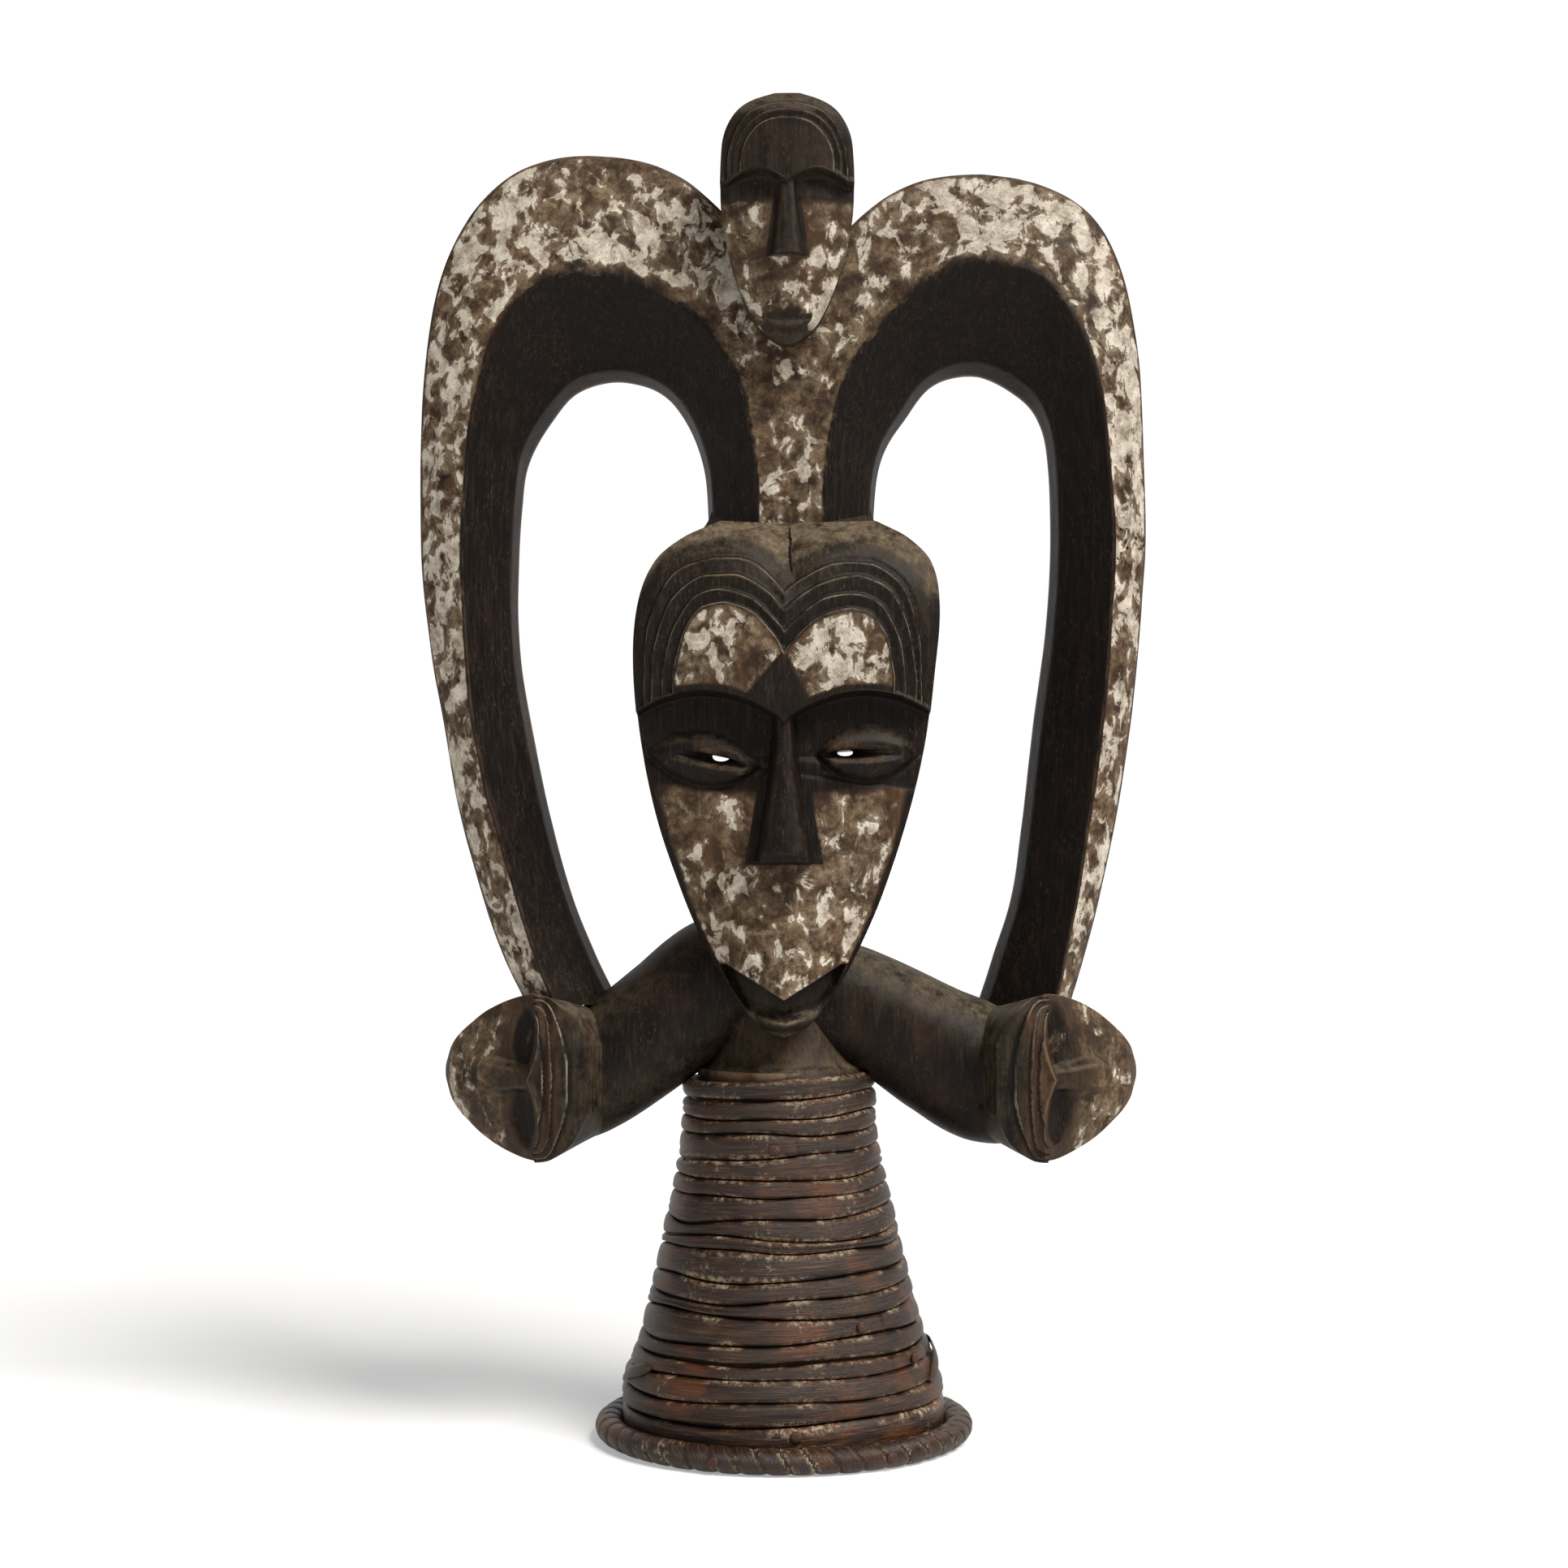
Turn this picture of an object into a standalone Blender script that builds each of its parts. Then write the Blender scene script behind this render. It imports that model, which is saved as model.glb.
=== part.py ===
"""Horned forest spirit mask: one block of carved wood on a flared foot that is wound with rattan.

The wood is a tall pierced mask under a pair of horns. The horns rise from the crown in one trunk,
arch out and down, and land on two small heads at the ends of the arms. A third small head sits in
the fork. Rattan strips are wound round the foot and nailed, and a wrapped hoop lies at its bottom.

Units are metres. +Z is up, the mask looks along -Y, and the origin is the middle of the underside.
"""

import math

import bmesh
import bpy
from mathutils import Vector

# Fits
GAP = 0.0003  # air between pieces that touch

# The flared foot, turned about Z
FOOT_HEIGHT = 0.198  # ground to the top of the winding
FOOT_RADIUS = 0.0812  # wood inside the lowest strip
NECK_RADIUS = 0.0470  # wood at the top of the winding
FLARE_START = 0.030  # height where the foot begins to draw in
FOOT_WALL = 0.0125  # wood left round the hollow
HOLLOW_ROOF = 0.034  # solid wood between the hollow and the top of the foot
FOOT_LEAN = -0.003  # how far its top stands to the left of its bottom
FOOT_SIDES = 32

# The rattan winding
STRIP_THICKNESS = 0.0042
STRIP_START = 0.0080  # ground to the lowest strip, behind the hoop
STRIP_TURNS = 17.8  # from the bottom to the top
STRIP_ENDS = (0.0, 3.681, 5.612, 14.51, STRIP_TURNS)  # turns from the bottom where a strip ends
STRIP_EDGE = 0.0011  # how far a strip's outer face is narrower on each edge
STRIP_STEPS = 24  # facets in one turn
SEAT_CLEARANCE = 0.0010  # air round the last turn where it passes under the arms

# The wrapped hoop
HOOP_TUBE_RADIUS = 0.0070
HOOP_WRAPS = 47
WRAP_GROOVE = 0.0007  # depth of the groove between two wraps
HOOP_SIDES = 8  # facets round its tube

# Nails
NAIL_RADIUS = 0.0032
NAIL_RISE = 0.0016
NAIL_SIDES = 8

# The carving, in modules: one module is 1 mm at this height. Heights count from the top of the foot.
CARVING_HEIGHT = 0.5065
MODULE = CARVING_HEIGHT / 506.5

# Depths of the horns' section, in modules from the middle plane; minus is to the front
RIDGE_DEPTH = -28.0
INNER_EDGE_DEPTH = 0.0
OUTER_EDGE_DEPTH = -8.0
TRUNK_FRONT_DEPTH = -26.5
HORN_BACK_DEPTH = 24.0
BACK_ROUNDING = 8.0
HORN_RINGS = 40
UNDERCUT = 0.14  # share of the black facet that the inner wall leans under
# Each station: the inner edge, the ridge and the outer edge, each as x and height, and flatness.
# Flatness 1 keeps the white facet level, as on the trunk; 0 slopes it to the outer edge.
LEFT_HORN = (
    (-41, 262, -16, 262, 18, 262, 1.0),
    (-44, 320, -16, 322, 18, 330, 1.0),
    (-61, 356, -26, 366, 5, 400, 1.0),
    (-86, 367, -55, 402, -46, 467, 0.5),
    (-110, 362, -96, 418, -98, 486, 0.1),
    (-124, 347, -129, 412, -147, 475, 0.0),
    (-137, 324, -151, 386, -179, 433, 0.0),
    (-141, 299, -164, 344, -192, 370, 0.0),
    (-143, 250, -169, 272, -194, 282, 0.0),
    (-141, 215, -167, 222, -189, 226, 0.0),
    (-135, 180, -163, 180, -181, 180, 0.0),
    (-126, 136, -153, 136, -173, 135, 0.0),
    (-114, 92, -141, 94, -161, 91, 0.0),
    (-101, 59, -131, 62, -150, 59, 0.0),
    (-88, 33, -120, 34, -137, 32, 0.0),
)
RIGHT_HORN = (
    (48, 262, 22, 262, -14, 262, 1.0),
    (52, 320, 24, 327, -12, 335, 1.0),
    (68, 350, 36, 369, 0, 400, 1.0),
    (82, 366, 58, 399, 49, 459, 0.5),
    (104, 370, 94, 424, 95, 476, 0.1),
    (125, 360, 131, 420, 144, 468, 0.0),
    (137, 346, 150, 400, 173, 442, 0.0),
    (142, 322, 165, 364, 188, 388, 0.0),
    (143, 272, 173, 290, 193, 296, 0.0),
    (140, 230, 172, 243, 191, 247, 0.0),
    (134, 187, 168, 190, 186, 190, 0.0),
    (128, 132, 160, 130, 177, 132, 0.0),
    (122, 90, 154, 90, 168, 90, 0.0),
    (112, 58, 147, 55, 159, 54, 0.0),
    (103, 31, 143, 34, 152, 32, 0.0),
)

# The arms. Each station: x, height, half thickness, half depth
ARM_SIDES = 10
LEFT_ARM = (
    (-8, 62, 28, 28),
    (-36, 48, 32, 30),
    (-59, 28, 33, 31),
    (-85, 5, 29, 31),
    (-108, -4, 34, 32),
    (-124, -6, 34, 33),
)
RIGHT_ARM = (
    (4, 46, 29, 28),
    (30, 35, 32, 30),
    (58, 23, 32, 31),
    (84, 8, 35, 31),
    (108, -3, 38, 33),
    (124, -3, 36, 34),
)

# The neck, above the foot. Each station: height, half width, half depth
NECK = ((4, 39, 37), (16, 34, 33), (32, 30, 29), (50, 29, 28), (72, 29, 28))

# The great mask. Heights are from the point between its brows
MASK_BROW_HEIGHT = 183.5
MASK_RIM_DEPTH = -45.0
MASK_BACK_DEPTH = 4.0
# Each row: height, half width to the left, half width to the right
MASK_OUTLINE = (
    (-164, 3, 3), (-160, 11, 11), (-150, 20.5, 20), (-133, 32, 31.5), (-112, 43.5, 42),
    (-87, 54, 52.4), (-49, 66.5, 64.7), (-11, 74.4, 73.5), (27, 78, 78.2), (60, 76, 80.6),
    (83, 67, 76.3), (96, 52, 64), (105, 33, 48),
)  # fmt: skip
MASK_LEVELS = (
    -164, -161, -157, -153, -150, -147, -144, -141, -130, -115, -98, -84, -75, -72.5, -70, -58, -46,
    -37, -32, -26, -20, -16, -12, -8, -4, -0.5, 2, 8, 16, 26, 37, 48, 59, 70, 80, 89, 96, 101, 105,
)  # fmt: skip
MASK_WALL = 13.0
NOSE_LENGTH = 72.5
NOSE_WIDTHS = (7.0, 16.0)  # half of it at the brow and at the tip
EYE_X = 40.0
EYE_HEIGHT = -19.0
# The lines cut over the two lobes of the forehead. Each has the height of its valley between the
# lobes, and for the left and the right lobe: x of its top, x at the temple, height, and fullness.
FOREHEAD_LINES = (
    (35.5, (32, 57.7, 61.0, 2.3), (36, 57.4, 58.0, 2.3)),
    (46.0, (32, 63.3, 67.7, 2.25), (36, 63.0, 65.3, 2.3)),
    (57.3, (30, 68.9, 76.0, 2.5), (36, 68.5, 74.4, 2.5)),
    (66.0, (26, 72.4, 84.7, 2.9), (34, 71.3, 82.0, 2.8)),
)
LOBE_BASE = 11.0
VALLEY_FULLNESS = 1.9
LINE_GROOVE = 1.6
LINE_STEPS = 5  # points from the temple to the top of a lobe, and again down to the valley

# The head in the fork, with heights from its own brow
CROWN_X = 1.7
FORK_HEIGHT = LEFT_HORN[2][5]  # where the horns part
CROWN_BROW_HEIGHT = FORK_HEIGHT + 63.0
CROWN_RIM_DEPTH = -46.0
CROWN_BACK_DEPTH = 6.0
CROWN_OUTLINE = (
    (-83, 3, 3), (-76, 13.4, 13.4), (-67, 19.5, 19.5), (-53, 25.5, 25.5), (-39, 30, 30),
    (-14, 34.3, 34.3), (17, 34, 34), (28, 31.5, 31.5), (38, 25, 25), (44, 17, 17), (48, 6, 6),
)  # fmt: skip
CROWN_LEVELS = (
    -83, -79, -73, -64, -54, -44, -40, -38.5, -37, -28, -18, -10, -4, -0.5, 2, 8, 17, 26, 34, 41, 45, 48,
)  # fmt: skip

# The heads at the ends of the arms, with lengths from their own brow towards the crown
END_TURN = math.radians(35)  # how far each one looks outwards
LEFT_END_X = 125.5
RIGHT_END_X = 133.0
END_HEIGHT = -3.0
END_RIM_DEPTH = 34.0
END_BACK_DEPTH = 62.0
END_OUTLINE = (
    (-68, 5, 5), (-64, 14, 14), (-52, 25, 25), (-36, 35, 35), (-15, 42.5, 42.5), (0, 43.8, 43.8),
    (10, 41.5, 41.5), (20, 34, 34), (27, 18, 18),
)  # fmt: skip
END_LEVELS = (-68, -63, -55, -45, -36, -33.5, -31, -22, -12, -4, -0.5, 2, 8, 15, 21, 27)


def blend(edge_0, edge_1, value):
    """0 before edge_0, 1 after edge_1, smooth between."""
    share = min(1.0, max(0.0, (value - edge_0) / (edge_1 - edge_0)))
    return share * share * (3 - 2 * share)


def bump(distance, width):
    """A round hill, 1 at distance 0, that falls off over width."""
    return math.exp(-((distance / width) ** 2))


def spline(knots, share):
    """The point at share, 0 to 1, on a Catmull-Rom curve through the knots."""
    place = min(share, 1.0) * (len(knots) - 1)
    start = min(int(place), len(knots) - 2)
    t = place - start
    p = [knots[min(max(start + i, 0), len(knots) - 1)] for i in (-1, 0, 1, 2)]
    return [
        0.5 * (2 * b + (c - a) * t + (2 * a - 5 * b + 4 * c - d) * t**2 + (3 * b - a - 3 * c + d) * t**3)
        for a, b, c, d in zip(*p)
    ]


def lookup(knots, value):
    """The second number of a table of pairs at the first number value, smoothly between its rows."""
    if value <= knots[0][0]:
        return knots[0][1]
    for i, (low, high) in enumerate(zip(knots, knots[1:])):
        if value <= high[0]:
            before = knots[max(i - 1, 0)]
            after = knots[min(i + 2, len(knots) - 1)]
            span = high[0] - low[0]
            slope_in = span * (high[1] - before[1]) / (high[0] - before[0])
            slope_out = span * (after[1] - low[1]) / (after[0] - low[0])
            t = (value - low[0]) / span
            return (
                (2 * t**3 - 3 * t**2 + 1) * low[1]
                + (t**3 - 2 * t**2 + t) * slope_in
                + (3 * t**2 - 2 * t**3) * high[1]
                + (t**3 - t**2) * slope_out
            )
    return knots[-1][1]


def carving(x, depth, height):
    """A point of the carving, given in modules from the top of the foot."""
    return Vector((x * MODULE, depth * MODULE, FOOT_HEIGHT + height * MODULE))


# Materials and mesh building


def make_material(name, colour, roughness, metallic=0.0):
    material = bpy.data.materials.new(name)
    material.use_nodes = True
    shader = material.node_tree.nodes["Principled BSDF"]
    shader.inputs["Base Color"].default_value = (*colour, 1.0)
    shader.inputs["Roughness"].default_value = roughness
    shader.inputs["Metallic"].default_value = metallic
    material.diffuse_color = (*colour, 1.0)
    return material


def make_object(name, points, faces, material):
    mesh = bpy.data.meshes.new(name)
    mesh.from_pydata(points, [], faces)
    shape = bmesh.new()
    shape.from_mesh(mesh)
    bmesh.ops.recalc_face_normals(shape, faces=shape.faces)
    shape.to_mesh(mesh)
    shape.free()
    mesh.materials.append(material)
    mesh.shade_smooth()
    mesh.set_sharp_from_angle(angle=math.radians(35))
    obj = bpy.data.objects.new(name, mesh)
    bpy.context.scene.collection.objects.link(obj)
    return obj


def make_loft(name, rings, material, closed=False):
    """A skin over rings of equal length, capped at both ends or joined end to end."""
    count = len(rings[0])
    points = [point for ring in rings for point in ring]
    faces = []
    for i in range(len(rings) if closed else len(rings) - 1):
        j = (i + 1) % len(rings)
        for k in range(count):
            n = (k + 1) % count
            faces.append((i * count + k, i * count + n, j * count + n, j * count + k))
    if not closed:
        faces.append(tuple(range(count)))
        faces.append(tuple(range((len(rings) - 1) * count, len(rings) * count)))
    return make_object(name, points, faces, material)


def side_columns(half, nose):
    """The distances of the grid's columns from the middle, on one side."""
    nose = min(nose, half * 0.5)
    outside = nose + min(2.5, half * 0.1)
    shares = (0.18, 0.38, 0.58, 0.78, 0.93, 1.0)
    return [nose, outside] + [outside + (half - outside) * share for share in shares]


def make_relief_block(name, levels, outline, nose, warp, relief, place, depths, taper, material):
    """A block whose front is a grid that follows an outline, the carved lines and a relief.

    Row by row, warp(x, level) bends a level into a line of heights, and nose(level) gives the half
    width of the nose that two columns follow. place turns (x, depth, height) into a point; depths
    are those of the rim and the back, and taper is how much narrower the back is than the rim.
    """
    rim, back = depths
    sides = [[(row[0], row[1]) for row in outline], [(row[0], row[2]) for row in outline]]
    low, high = levels[0], levels[-1]
    middle = (low + high) / 2
    points, ground = [], []
    for level in levels:
        reach = []
        for side in (0, 1):
            half = lookup(sides[side], level)
            for _ in range(6):
                half = lookup(sides[side], min(level + warp(half, level), high))
            reach.append(half)
        row = [-x for x in reversed(side_columns(reach[0], nose(level)))]
        row += [0.0] + side_columns(reach[1], nose(level))
        for x in row:
            height = level + warp(abs(x), level)
            share = abs(x) / reach[x > 0]
            points.append(place(x, rim - relief(x, height, share, level), height))
            ground.append((x, height))
    rows, columns = len(levels), len(row)
    faces = [
        (i * columns + j, i * columns + j + 1, (i + 1) * columns + j + 1, (i + 1) * columns + j)
        for i in range(rows - 1)
        for j in range(columns - 1)
    ]
    border = list(range(columns))
    border += [i * columns + columns - 1 for i in range(1, rows)]
    border += [(rows - 1) * columns + j for j in range(columns - 2, -1, -1)]
    border += [i * columns for i in range(rows - 2, 0, -1)]
    first_back = len(points)
    for k in border:
        x, height = ground[k]
        points.append(place(x * taper, back, middle + (height - middle) * taper))
    for k in range(len(border)):
        n = (k + 1) % len(border)
        faces.append((border[k], border[n], first_back + n, first_back + k))
    faces.append(tuple(range(first_back, len(points))))
    return make_object(name, points, faces, material)


def as_tool(obj):
    """Marks an object as a helper for a Boolean, not a part."""
    obj.hide_render = True
    obj.display_type = "WIRE"
    return obj


def combine(target, tool, operation):
    modifier = target.modifiers.new(f"{operation.lower()} {tool.name}", "BOOLEAN")
    modifier.operation = operation
    modifier.object = as_tool(tool)


# The horns


def horn_ring(stations, share):
    """One section of a horn, as points, with its ridge first."""
    *edges, flatness = spline(stations, share)
    inner, ridge, outer = (Vector(edges[i : i + 2]) for i in (0, 2, 4))
    outer_depth = OUTER_EDGE_DEPTH + (TRUNK_FRONT_DEPTH - OUTER_EDGE_DEPTH) * flatness
    side_depth = HORN_BACK_DEPTH - BACK_ROUNDING
    section = (
        (ridge, RIDGE_DEPTH),
        (ridge.lerp(outer, 0.55), RIDGE_DEPTH + (outer_depth - RIDGE_DEPTH) * 0.4),
        (outer, outer_depth),
        (outer, side_depth),
        (ridge.lerp(outer, 0.6), HORN_BACK_DEPTH),
        (inner.lerp(ridge, 0.5), HORN_BACK_DEPTH),
        (inner, side_depth),
        (inner.lerp(ridge, UNDERCUT), INNER_EDGE_DEPTH),
    )
    return [carving(place.x, depth, place.y) for place, depth in section]


def make_horn(name, stations, material):
    rings = [horn_ring(stations, i / (HORN_RINGS - 1)) for i in range(HORN_RINGS)]
    return make_loft(name, rings, material)


# The arms and the neck


def make_arm(name, stations, side, material):
    """An arm from the neck to the head at its end, a lofted oval with a flattened front ridge."""
    rings = []
    for i, (x, height, thick, deep) in enumerate(stations):
        before, after = stations[max(i - 1, 0)], stations[min(i + 1, len(stations) - 1)]
        along = Vector((after[0] - before[0], 0, after[1] - before[1])).normalized()
        across = Vector((-along.z, 0, along.x)) * side
        ring = []
        for k in range(ARM_SIDES):
            turn = 2 * math.pi * k / ARM_SIDES
            u = thick * math.cos(turn)
            ring.append(carving(x + across.x * u, deep * math.sin(turn), height + across.z * u))
        rings.append(ring)
    return make_loft(name, rings, material)


def oval_ring(half_width, half_depth, height):
    turns = [2 * math.pi * k / FOOT_SIDES for k in range(FOOT_SIDES)]
    return [carving(half_width * math.sin(t), -half_depth * math.cos(t), height) for t in turns]


def make_neck(material):
    rings = [oval_ring(half_width, half_depth, height) for height, half_width, half_depth in NECK]
    first = [Vector((p.x, p.y, FOOT_HEIGHT - NECK_RADIUS / 4)) for p in rings[0]]
    return make_loft("neck tool", [first] + rings, material)


# The foot


def foot_radius(height):
    """Radius of the wood at a height above the ground."""
    flare = FOOT_RADIUS - NECK_RADIUS
    rise = FOOT_HEIGHT - FLARE_START
    profile = (
        (0.0, FOOT_RADIUS - GAP),
        (FLARE_START, FOOT_RADIUS),
        (FLARE_START + 0.16 * rise, NECK_RADIUS + 0.73 * flare),
        (FLARE_START + 0.46 * rise, NECK_RADIUS + 0.37 * flare),
        (FLARE_START + 0.78 * rise, NECK_RADIUS + 0.05 * flare),
        (FOOT_HEIGHT, NECK_RADIUS),
    )
    return lookup(profile, height)


def strip_face(radius):
    """Radius of a strip's inner corners over wood of a radius, clear of the corners of both."""
    return radius / math.cos(math.pi / STRIP_STEPS) + 2 * GAP


def foot_place(radius, turn, height):
    """A point round the foot's leaning middle line; turn 0 is the front."""
    lean = FOOT_LEAN * height / FOOT_HEIGHT
    return Vector((lean + radius * math.sin(turn), -radius * math.cos(turn), height))


def circle(radius, height):
    return [foot_place(radius, 2 * math.pi * k / FOOT_SIDES, height) for k in range(FOOT_SIDES)]


def make_foot(name, material):
    levels = 11
    heights = [FOOT_HEIGHT * i / (levels - 1) for i in range(levels)]
    rings = [circle(foot_radius(z), z) for z in heights]
    return make_loft(name, rings, material)


def make_winding_seat(material):
    """The step under the arms that the last turn of the winding lies in."""
    inner = NECK_RADIUS - GAP
    outer = strip_face(NECK_RADIUS) + STRIP_THICKNESS + SEAT_CLEARANCE
    rings = []
    for k in range(FOOT_SIDES):
        turn = 2 * math.pi * k / FOOT_SIDES
        ring = []
        for radius, height in ((inner, -0.012), (outer, -0.012), (outer, GAP), (inner, GAP)):
            ring.append(foot_place(radius, turn, FOOT_HEIGHT + height))
        rings.append(ring)
    return make_loft("winding seat tool", rings, material, closed=True)


def make_foot_hollow(material):
    """The space under the foot, a bell that keeps the wall even, ending in a low dome."""
    top = FOOT_HEIGHT - HOLLOW_ROOF
    rings = [circle(FOOT_RADIUS - FOOT_WALL, -0.01)]
    for share in (0.0, 0.25, 0.5, 0.75, 0.92):
        rings.append(circle(foot_radius(top * share) - FOOT_WALL, top * share))
    rings.append(circle((foot_radius(top) - FOOT_WALL) * 0.6, top))
    return make_loft("foot hollow tool", rings, material)


# The great mask


def brow_height(x):
    """The double bow of the brow, low between the eyes and at the temples."""
    return 16.5 * math.sin(math.pi * min(abs(x) / 84.0, 1.0)) ** 0.8


def mask_warp(x, level):
    """Bends the grid's rows into the brows and into the bow of the mouth."""
    brow = brow_height(x) * blend(-19, -2, level) * blend(44, 2, level)
    mouth = 0.6 * min(x, 30.0) * blend(-164, -146, level) * blend(-105, -142, level)
    return brow + mouth


def mask_nose(level):
    run = min(max(-level / NOSE_LENGTH, 0.0), 1.0)
    return NOSE_WIDTHS[0] + (NOSE_WIDTHS[1] - NOSE_WIDTHS[0]) * run**1.6


def mask_relief(x, height, share, level):
    """How far the mask's front stands out from its rim."""
    cheeks = lookup(
        ((-164, 5), (-157, 14), (-146, 21), (-128, 21), (-95, 17), (-55, 14), (-15, 12), (0, 12)),
        height,
    )
    lower = cheeks * (1 - share**2.2) + 2.0 * bump(x, 5)
    crown = lookup(((0, 27), (35, 32), (62, 29), (80, 21), (96, 8), (105, -10)), height)
    upper = crown * (1 - 0.6 * share**2.6)
    upper -= 9.0 * blend(50, 88, height) * bump(x, 13)
    out = lower + (upper - lower) * blend(-4.5, -0.5, level)
    # The eyes, two almonds
    across, up = abs(x) - EYE_X - 3, height - EYE_HEIGHT
    lid = max(0.0, 1 - (across / 31.0) ** 2) * 14.5
    if lid > abs(up):
        out += 8.0 * math.sqrt(1 - (up / lid) ** 2) * min(1.0, lid / 8)
    # The nose, a narrow bridge that widens to a flat tip
    if -NOSE_LENGTH - 0.1 < level < 0 and abs(x) < mask_nose(level) + 0.1:
        out = max(out, 24.0 - 10.0 * level / NOSE_LENGTH)
    # The mouth, a bow cut under the white of the face
    if -155 < level < -144.5 and share < 0.93:
        out -= 7.0
    return out


def mask_place(x, depth, height):
    return carving(x, depth, MASK_BROW_HEIGHT + height)


def make_mask(material):
    return make_relief_block(
        "mask tool",
        MASK_LEVELS,
        MASK_OUTLINE,
        mask_nose,
        mask_warp,
        mask_relief,
        mask_place,
        (MASK_RIM_DEPTH, MASK_BACK_DEPTH),
        0.94,
        material,
    )


def make_mask_hollow(material):
    """The hollow behind the mask, open at the back, that the eyes look through."""
    low, high, steps = -92.0, 84.0, 9
    rings = []
    for depth, inset in ((MASK_BACK_DEPTH + 60, 0), (-14.0, 2), (-34.0, 9), (-41.0, 24)):
        ring = []
        for side in (1, -1):
            for i in range(steps):
                share = i / (steps - 1) if side > 0 else 1 - i / (steps - 1)
                along = low + inset + (high - low - 2 * inset) * share
                outline = [(row[0], min(row[1:])) for row in MASK_OUTLINE]
                half = lookup(outline, along) - MASK_WALL - inset
                half *= math.sqrt(math.sin(math.pi * (0.04 + 0.92 * share)))
                ring.append(mask_place(side * half, depth, along))
        rings.append(ring)
    return make_loft("mask hollow tool", rings, material)


def make_eye_slit(name, middle, tilt, material):
    """A narrow almond cut right through the mask along Y."""
    rings = []
    for depth in (-110.0, MASK_BACK_DEPTH + 6):
        ring = []
        for k in range(10):
            turn = 2 * math.pi * (k + 0.5) / 10
            u, v = 19.5 * math.cos(turn), 2.8 * math.sin(turn)
            ring.append(mask_place(middle + u, depth, EYE_HEIGHT - 1.0 + v + tilt * u))
        rings.append(ring)
    return make_loft(name, rings, material)


def lobe_points(valley, lobe):
    """One cut line over one lobe, from the temple to the middle of the forehead, as (x, height)."""
    top_x, temple_x, top, fullness = lobe
    rise = top - LOBE_BASE
    points = []
    for i in range(LINE_STEPS + 1):
        turn = math.pi / 2 * i / LINE_STEPS
        across, up = math.cos(turn) ** (2 / fullness), math.sin(turn) ** (2 / fullness)
        points.append((top_x + (temple_x - top_x) * across, LOBE_BASE + rise * up))
    fall = ((valley - LOBE_BASE) / rise) ** VALLEY_FULLNESS
    reach = top_x / (1 - fall) ** (1 / VALLEY_FULLNESS)
    for i in range(1, LINE_STEPS + 1):
        x = top_x * (1 - i / LINE_STEPS)
        up = (1 - ((top_x - x) / reach) ** VALLEY_FULLNESS) ** (1 / VALLEY_FULLNESS)
        points.append((x, LOBE_BASE + rise * up))
    return points


def line_points(line):
    """One cut line over both lobes, from temple to temple, as far as it stands over the brows."""
    valley, left, right = line
    points = [(-x, height) for x, height in lobe_points(valley, left)]
    points += reversed(lobe_points(valley, right)[:-1])
    return [point for point in points if point[1] > brow_height(point[0]) - 2]


def make_line_cutter(name, line, material):
    """A three-sided bar laid in the forehead along one line, which cuts a groove with a steep side."""
    points = line_points(line)
    rings = []
    for i, (x, height) in enumerate(points):
        before, after = points[max(i - 1, 0)], points[min(i + 1, len(points) - 1)]
        along = Vector((after[0] - before[0], after[1] - before[1])).normalized()
        out_x, out_z = -along.y, along.x
        half = lookup([(row[0], row[1 if x < 0 else 2]) for row in MASK_OUTLINE], height)
        front = MASK_RIM_DEPTH - mask_relief(x, height, abs(x) / half, height)
        ring = []
        for across, rise in ((-0.3, -LINE_GROOVE), (-0.8, 6.0), (4.0, 6.0)):
            ring.append(mask_place(x + out_x * across, front - rise, height + out_z * across))
        rings.append(ring)
    return make_loft(name, rings, material)


# The three small heads


def small_head(name, levels, outline, rise, place, depths, taper, material):
    """A small mask: domed forehead, a step under the brow, a nose and a pointed chin."""
    chin, crown = levels[0], levels[-1]
    nose_end = chin * 0.465
    broad = max(row[1] for row in outline)

    def nose(level):
        return broad * (0.13 + 0.15 * min(max(level / nose_end, 0.0), 1.0))

    def warp(x, level):
        brow = 0.17 * broad * math.sin(math.pi * min(1.1 * x / broad, 1.0))
        return brow * blend(-0.25 * broad, 0, level) * blend(crown * 0.8, 2, level)

    def relief(x, height, share, level):
        forehead = rise * (1 - 0.5 * share**2.4) * blend(crown + 2, crown - 14, height)
        face = rise * (0.55 - 0.1 * blend(0, chin, height)) * (1 - 0.8 * share**2.2)
        face *= blend(chin - 4, chin + 12, height)
        out = face + (forehead - face) * blend(-4.5, -0.5, level)
        if nose_end - 0.2 < level < 0 and abs(x) < nose(level) + 0.1:
            out = max(out, rise * (0.85 + 0.3 * level / nose_end))
        return out

    return make_relief_block(name, levels, outline, nose, warp, relief, place, depths, taper, material)


def make_crown_head(material):
    return small_head(
        "crown head tool",
        CROWN_LEVELS,
        CROWN_OUTLINE,
        17,
        lambda x, depth, height: carving(CROWN_X + x, depth, CROWN_BROW_HEIGHT + height),
        (CROWN_RIM_DEPTH, CROWN_BACK_DEPTH),
        0.96,
        material,
    )


def make_end_head(name, side, brow_x, material):
    """The head at the end of an arm, lying on its side with its crown to the middle."""
    cosine, sine = math.cos(END_TURN), math.sin(END_TURN)

    def place(across, depth, along):
        # depth runs back from the face, along runs from the chin to the crown
        x = brow_x - along * cosine - depth * sine
        y = -END_RIM_DEPTH - along * sine + depth * cosine
        return carving(side * x, y, END_HEIGHT - across)

    return small_head(name, END_LEVELS, END_OUTLINE, 15, place, (0, END_BACK_DEPTH), 0.7, material)


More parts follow.
